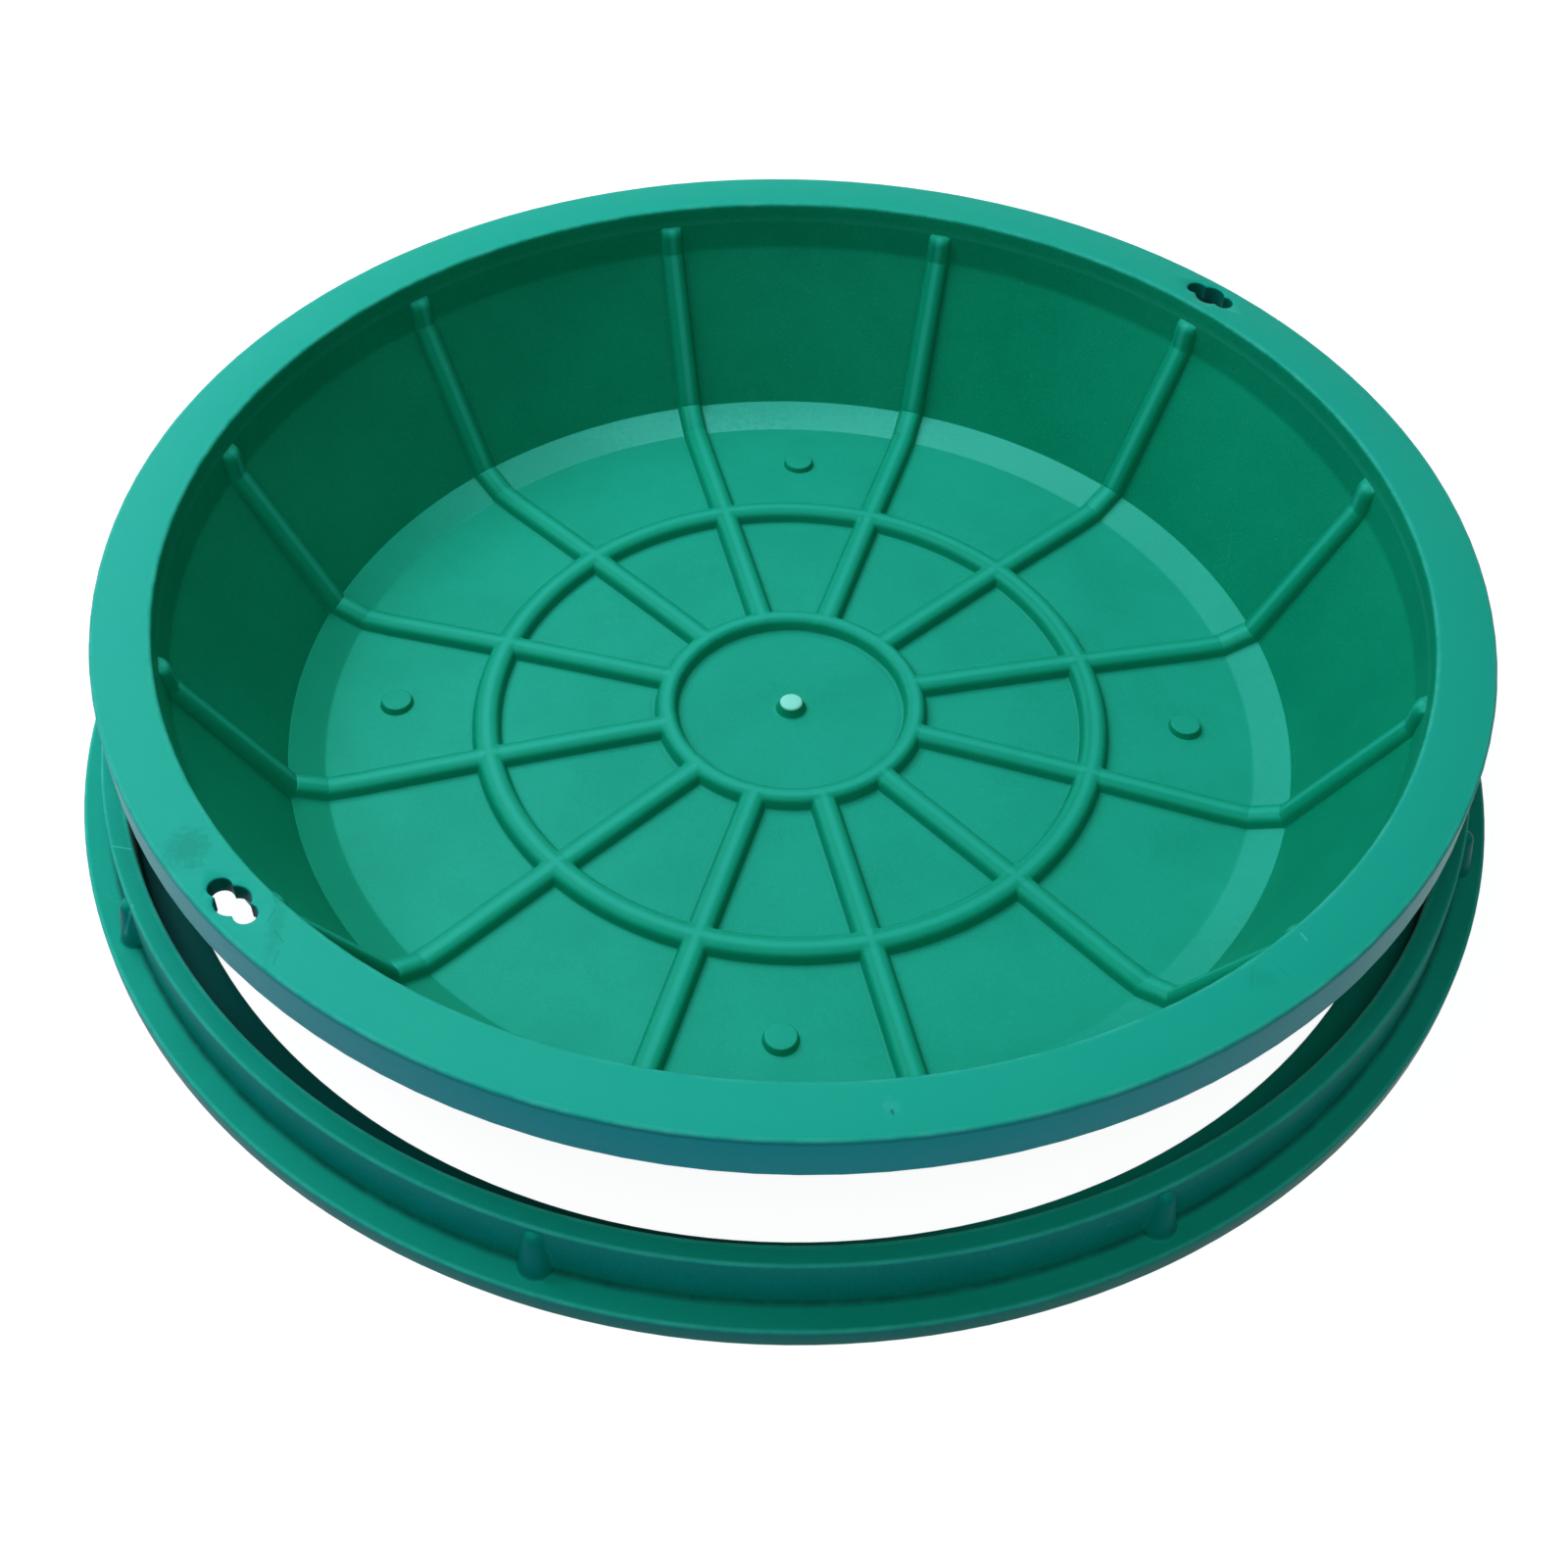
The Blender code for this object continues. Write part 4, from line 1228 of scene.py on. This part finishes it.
def lay_rib_highlight_and_shade(coat):
    """Give the ribs a plainer green without the painted sheen, a painted highlight on their crests and
    painted shade at their feet.
    """
    stands_out = coat.ramp(coat.kept("relief"), 0.3 * MM, 1.8 * MM)
    coat.lay(stands_out, 0.55, RIB_GREEN)
    nearest = from_rib_middle(coat)
    # Painted highlight along each rib's crest.
    crest_highlight = times(coat.tree, coat.ramp(nearest, 3.2 * MM, 0.6 * MM), stands_out)
    coat.lay(crest_highlight, 0.42, CREST_PAINTED_HIGHLIGHT)
    # Painted shade along the feet of the ribs, inside the basin and below their heads.
    foot = coat.ramp(coat.off(nearest, RIB_WIDTH / 2 + 0.3 * MM), 3.4 * MM, 0.4 * MM)
    below_heads = coat.ramp(coat.radius, rim_inner - 5 * MM, rim_inner - 8 * MM)
    coat.lay(times(coat.tree, foot, coat.kept("inside"), below_heads), 0.13, DIRT_AND_SHADE)


def rib_head_highlights(coat):
    """1 on the domes of the rib heads, where they look up: there a painted highlight goes."""
    band = coat.edge(rim_inner - 6 * MM, head_z + 0.8 * MM, 7 * MM, 0.25)
    return times(coat.tree, band, coat.ramp(coat.z, head_z - 0.3 * MM, head_z + 0.2 * MM))


def stud_head(coat):
    """1 on the worn head of the stud in the middle."""
    top = floor_top(0) + CENTRE_BOSS["height"]
    near = coat.ramp(coat.edge(0.0, top, 8.5 * MM, 0.1), 0.03, 0.2)
    return times(coat.tree, near, coat.ramp(coat.z, top - 1.4 * MM, top - 0.5 * MM))


def cover_material():
    """Sea green compound with worn edges, painted highlights, sheen and shade, and a worn stud."""
    coat = Coat("cover_green_moulded", COVER_AXIS, 70 * MM, (0.85, 1.13), COVER_TINTS)
    coat.add_painted_sheen(rim_inner, COVER_PAINTED_SHEEN, SKIRT_PAINTED_REFLECTION)
    lay_rib_highlight_and_shade(coat)
    for *line, strength in COVER_WEAR_AND_HIGHLIGHT_EDGES:
        coat.add_wear_and_highlight(coat.edge(*line), strength)
    # Painted highlight on the tops of the rib heads.
    coat.add_wear_and_highlight(rib_head_highlights(coat), 0.38)
    # Rubbed edges and painted highlights on the edges and rib heads.
    coat.lay(coat.wear_and_highlight, 1.0, PALE_WEAR_AND_HIGHLIGHT)
    coat.lay(coat.mask(hair_scratches, COVER_SCRATCHES), 0.22, PALE_WEAR_AND_HIGHLIGHT)
    paint_chamfer_light(coat)
    coat.lay(hole_walls(coat), 0.85, HOLE_SHADE)
    coat.add_marks(COVER_PATCHES, COVER_STROKES)
    # Painted shade just under the rim's outer edge.
    coat.lay(coat.edge(*UNDER_RIM_SHADE), 0.45, DIRT_AND_SHADE)
    coat.lay(stud_head(coat), 0.92, STUD_MINT)
    return coat.finish(roughness=(0.34, 0.44), sheen=0.09)


cover.data.materials.clear()
cover.data.materials.append(cover_material())

# %% [markdown]
# The frame lies on the ground and has been dragged about, so it has more hair scratches. Its
# rubbed edges are pale, and that line is also a painted highlight on their rounds. Painted shade
# sits in the corners at both feet of its upstand, a painted shadow of the cover lies on the seat,
# darkest at the front on the left, and one gusset there has a pale streak down its back, part
# wear and part painted highlight.

# %% The frame's material
FRAME_TINTS = ((0.001, 0.250, 0.160), (0.002, 0.280, 0.180), (0.02, 0.36, 0.26))
# Painted sheen: a paler green laid on the frame's faces that look up.
FRAME_PAINTED_SHEEN = (0.006, 0.325, 0.220)
# Painted shade: a darker green on the frame's outer sides.
FRAME_SIDE_PAINTED_SHADE = (0.001, 0.225, 0.150)
# Pale of the frame's rubbed places, also used for painted highlights on its edges.
FRAME_WEAR_AND_HIGHLIGHT = (0.05, 0.56, 0.39)
# Pale rubbed edges; the pale line is also a painted highlight on the rounded edge.
FRAME_WEAR_AND_HIGHLIGHT_EDGES = (
    (SEAT_RADIUS + 0.9 * MM, RING_HEIGHT - 0.6 * MM, 2.3 * MM, 0.6, 0.6),
    (UPSTAND_RADIUS - 1.1 * MM, RING_HEIGHT - 0.6 * MM, 2.0 * MM, 0.35, 0.75),
    (RING_RADIUS - 0.8 * MM, BASE_THICKNESS - 0.6 * MM, 2.0 * MM, 0.4, 0.75),
    (RING_RADIUS - 0.3 * MM, 0.5 * MM, 1.6 * MM, 0.5, 0.35),
)
# Lines of painted shade in the corners at both feet of the upstand.
FRAME_CORNER_SHADE = (
    (UPSTAND_RADIUS + 0.9 * MM, BASE_THICKNESS + 0.6 * MM, 3.0 * MM, 0.3),
    (SEAT_RADIUS - 0.6 * MM, BASE_THICKNESS + 0.6 * MM, 3.4 * MM, 0.3),
)
FRAME_SCRATCHES = {"Scale": 34.0, "Share": 0.55}
FRAME_STROKES = (
    ((-352, -150, 44), (9, -1.5, 0), 0.6, 0.75, FRAME_WEAR_AND_HIGHLIGHT),
    ((-343, -151.5, 44), (11, -2.5, 0), 0.5, 0.75, FRAME_WEAR_AND_HIGHLIGHT),
    ((323, -206.5, 44), (1.5, 1, 0), 1.3, 0.80, FRAME_WEAR_AND_HIGHLIGHT),
    ((-332.2, -189.5, 44), (-3, 1.4, -7.5), 1.3, 0.60, FRAME_WEAR_AND_HIGHLIGHT),
    ((-335.2, -188.1, 36.5), (-5.3, -2.4, -15.3), 1.3, 0.60, FRAME_WEAR_AND_HIGHLIGHT),
)
# Painted shadow of the cover on the seat.
SEAT_PAINTED_SHADOW = (0.001, 0.035, 0.032)
SEAT_SHADOW_SIDE = (-0.85, -0.53, 0.0)
SEAT_SHADOW_RANGE = (0.02, 0.27)
SEAT_SHADOW_DEPTH = (0.16, 0.85)


def seat_shadow_mask(coat):
    """A painted shadow of the cover on the seat inside the upstand, darkest at the front on the left."""
    on_seat = coat.ramp(coat.radius, SEAT_RADIUS + 0.5 * MM, SEAT_RADIUS)
    side = coat.towards(SEAT_SHADOW_SIDE)
    darkness = ramp_between(coat.tree, side, *SEAT_SHADOW_RANGE, *SEAT_SHADOW_DEPTH)
    return times(coat.tree, on_seat, darkness)


def frame_material():
    """Deeper green compound with rubbed edges that are also painted highlights, painted shade in its
    corners, a painted shadow on its seat and hair scratches.
    """
    coat = Coat("frame_green_moulded", (0, 0), 60 * MM, (0.81, 1.17), FRAME_TINTS)
    coat.add_painted_sheen(UPSTAND_RADIUS, FRAME_PAINTED_SHEEN, FRAME_SIDE_PAINTED_SHADE)
    for *line, strength in FRAME_WEAR_AND_HIGHLIGHT_EDGES:
        coat.add_wear_and_highlight(coat.edge(*line), strength)
    # Rubbed edges, which are also painted highlights.
    coat.lay(coat.wear_and_highlight, 1.0, FRAME_WEAR_AND_HIGHLIGHT)
    coat.lay(coat.mask(hair_scratches, FRAME_SCRATCHES), 0.35, FRAME_WEAR_AND_HIGHLIGHT)
    coat.add_marks((), FRAME_STROKES)
    # Painted shadow of the cover on the seat, darkest at the front on the left.
    coat.lay(seat_shadow_mask(coat), 1.0, SEAT_PAINTED_SHADOW)
    # Painted shade in the inner corners.
    for corner in FRAME_CORNER_SHADE:
        coat.lay(coat.edge(*corner), 0.80, DIRT_AND_SHADE)
    return coat.finish(roughness=(0.38, 0.50), sheen=0.06)


ring.data.materials.clear()
ring.data.materials.append(frame_material())
print("materials:", cover.data.materials[0].name, ring.data.materials[0].name)

# %% [markdown]
# Both skins stand for their solids and ride on the row's one body.

# %% Put the skins on the frame
for piece, node_name, slot_name in (
    (cover, "cover_basin", "cover_green"),
    (ring, "frame_ring", "frame_green"),
):
    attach(piece, "root")
    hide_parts(node_name)

# %% [markdown]
# The photograph has a plain white ground with hardly a shadow. To the camera the floor is white
# mostly by a light of its own, and a little grey paint added to it keeps a trace of shadow. The
# faces that look sideways in the photograph are lit from below with a bluish light, so to the
# rays that carry light from the floor to them it is a plain pale blue.

# %% Floor
FLOOR_HALF = 7.0
FLOOR_PALE = (0.25, 0.255, 0.26)
FLOOR_GLOW = 0.93
BOUNCE = (0.20, 0.52, 1.0)


def seen_ray(tree):
    """1 on the camera, glossy and transmission rays, and 0 on those that only carry light."""
    path = add_node(tree, "LightPath").outputs
    seen = calc(tree, "MAXIMUM", path["Is Camera Ray"], path["Is Glossy Ray"])
    return calc(tree, "MAXIMUM", seen, path["Is Transmission Ray"])


def floor_material():
    """White to the rays that show the floor, and pale blue to the rest."""
    material = bare_material("floor_paint")
    tree = material.node_tree
    white = add_node(tree, "BsdfDiffuse", {"Color": rgba(*FLOOR_PALE)}).outputs[0]
    glow = add_node(tree, "Emission", {"Color": rgba(1, 1, 1), "Strength": FLOOR_GLOW}).outputs[0]
    shown = add_node(tree, "AddShader", {0: white, 1: glow}).outputs[0]
    bounced = add_node(tree, "BsdfDiffuse", {"Color": rgba(*BOUNCE)}).outputs[0]
    mixed = add_node(tree, "MixShader", {0: seen_ray(tree), 1: bounced, 2: shown}).outputs[0]
    add_node(tree, "OutputMaterial", {"Surface": mixed})
    return material


floor_mesh = bpy.data.meshes.new("studio_floor")
corner_signs = ((-1, -1), (1, -1), (1, 1), (-1, 1))
floor_corners = [(x * FLOOR_HALF, y * FLOOR_HALF, 0) for x, y in corner_signs]
floor_mesh.from_pydata(floor_corners, [], [(0, 1, 2, 3)])
floor = link(floor_mesh)
floor.data.materials.append(floor_material())

# %% [markdown]
# A wide soft lamp stands high behind the object to the left, as the shadows of the ribs say: each
# rib is bright on its upper left and throws a soft shadow to the lower right. A weaker one at the
# left and one in front light the walls that turn away from it, and the frame where the cover
# shades it. A low bluish window behind on the left gives that side of the rim its cool sheen. One
# lamp and a bright sky would be simpler, but then the ribs would lose their soft shadows. Each
# lamp below has a name, a place, a diameter in metres, a power in watts and a colour.

# %% Light
LAMPS = (
    ("softbox_behind_left", (-0.62, 0.64, 1.76), 1.55, 25.5, (0.90, 1.0, 1.0)),
    ("softbox_left", (-1.2, 0.21, 1.54), 1.1, 9.2, (0.75, 1.0, 1.30)),
    ("softbox_front", (0.0, -1.09, 1.64), 1.1, 11.5, (0.90, 1.0, 1.04)),
    ("low_window_behind_left", (-1.14, 1.18, 1.03), 1.1, 4.4, (1.0, 1.0, 1.7)),
)
LAMP_TARGET = (0, 0, 0.08)
FILL_COLOUR = (0.75, 0.90, 1.0)
FILL_STRENGTH = 0.02

for name, place, size, power, tint in LAMPS:
    lamp_data = bpy.data.lights.new(name, "AREA")
    lamp_data.shape = "DISK"
    lamp_data.size = size
    lamp_data.energy = power
    lamp_data.color = tint
    lamp = bpy.data.objects.new(name, lamp_data)
    lamp.location = place
    lamp.rotation_euler = (Vector(LAMP_TARGET) - lamp.location).to_track_quat("-Z", "Y").to_euler()
    lamp.visible_camera = False
    bpy.context.scene.collection.objects.link(lamp)

world = bpy.data.worlds.new("studio")
world.use_nodes = True
bpy.context.scene.world = world
sky = world.node_tree
sky.nodes.clear()
fill = add_node(sky, "Background", {"Color": rgba(*FILL_COLOUR), "Strength": FILL_STRENGTH}).outputs[0]
backdrop = add_node(sky, "Background", {"Color": rgba(1, 1, 1), "Strength": 1.0}).outputs[0]
sky_mix = add_node(sky, "MixShader", {0: seen_ray(sky), 1: fill, 2: backdrop}).outputs[0]
add_node(sky, "OutputWorld", {"Surface": sky_mix})

# %% [markdown]
# The camera was worked out from the circles in the photograph: the rim's two edges, the skirt's
# foot and the frame's edges all have known radii and heights, and only one viewpoint makes them
# the ellipses that show.

# %% Camera
CAMERA_SENSOR_MM = 36.0
CAMERA_LENS_MM = 47.583
CAMERA_PLACE = (0.0021, -0.84826, 0.87969)
CAMERA_TURN = np.radians([42.1581, -1.09352, 1.40259])

camera_data = bpy.data.cameras.new("camera")
camera_data.sensor_width = CAMERA_SENSOR_MM
camera_data.lens = CAMERA_LENS_MM
camera = bpy.data.objects.new("camera", camera_data)
camera.location = CAMERA_PLACE
camera.rotation_euler = CAMERA_TURN
bpy.context.scene.collection.objects.link(camera)
bpy.context.scene.camera = camera
bpy.context.scene.view_settings.view_transform = "Standard"
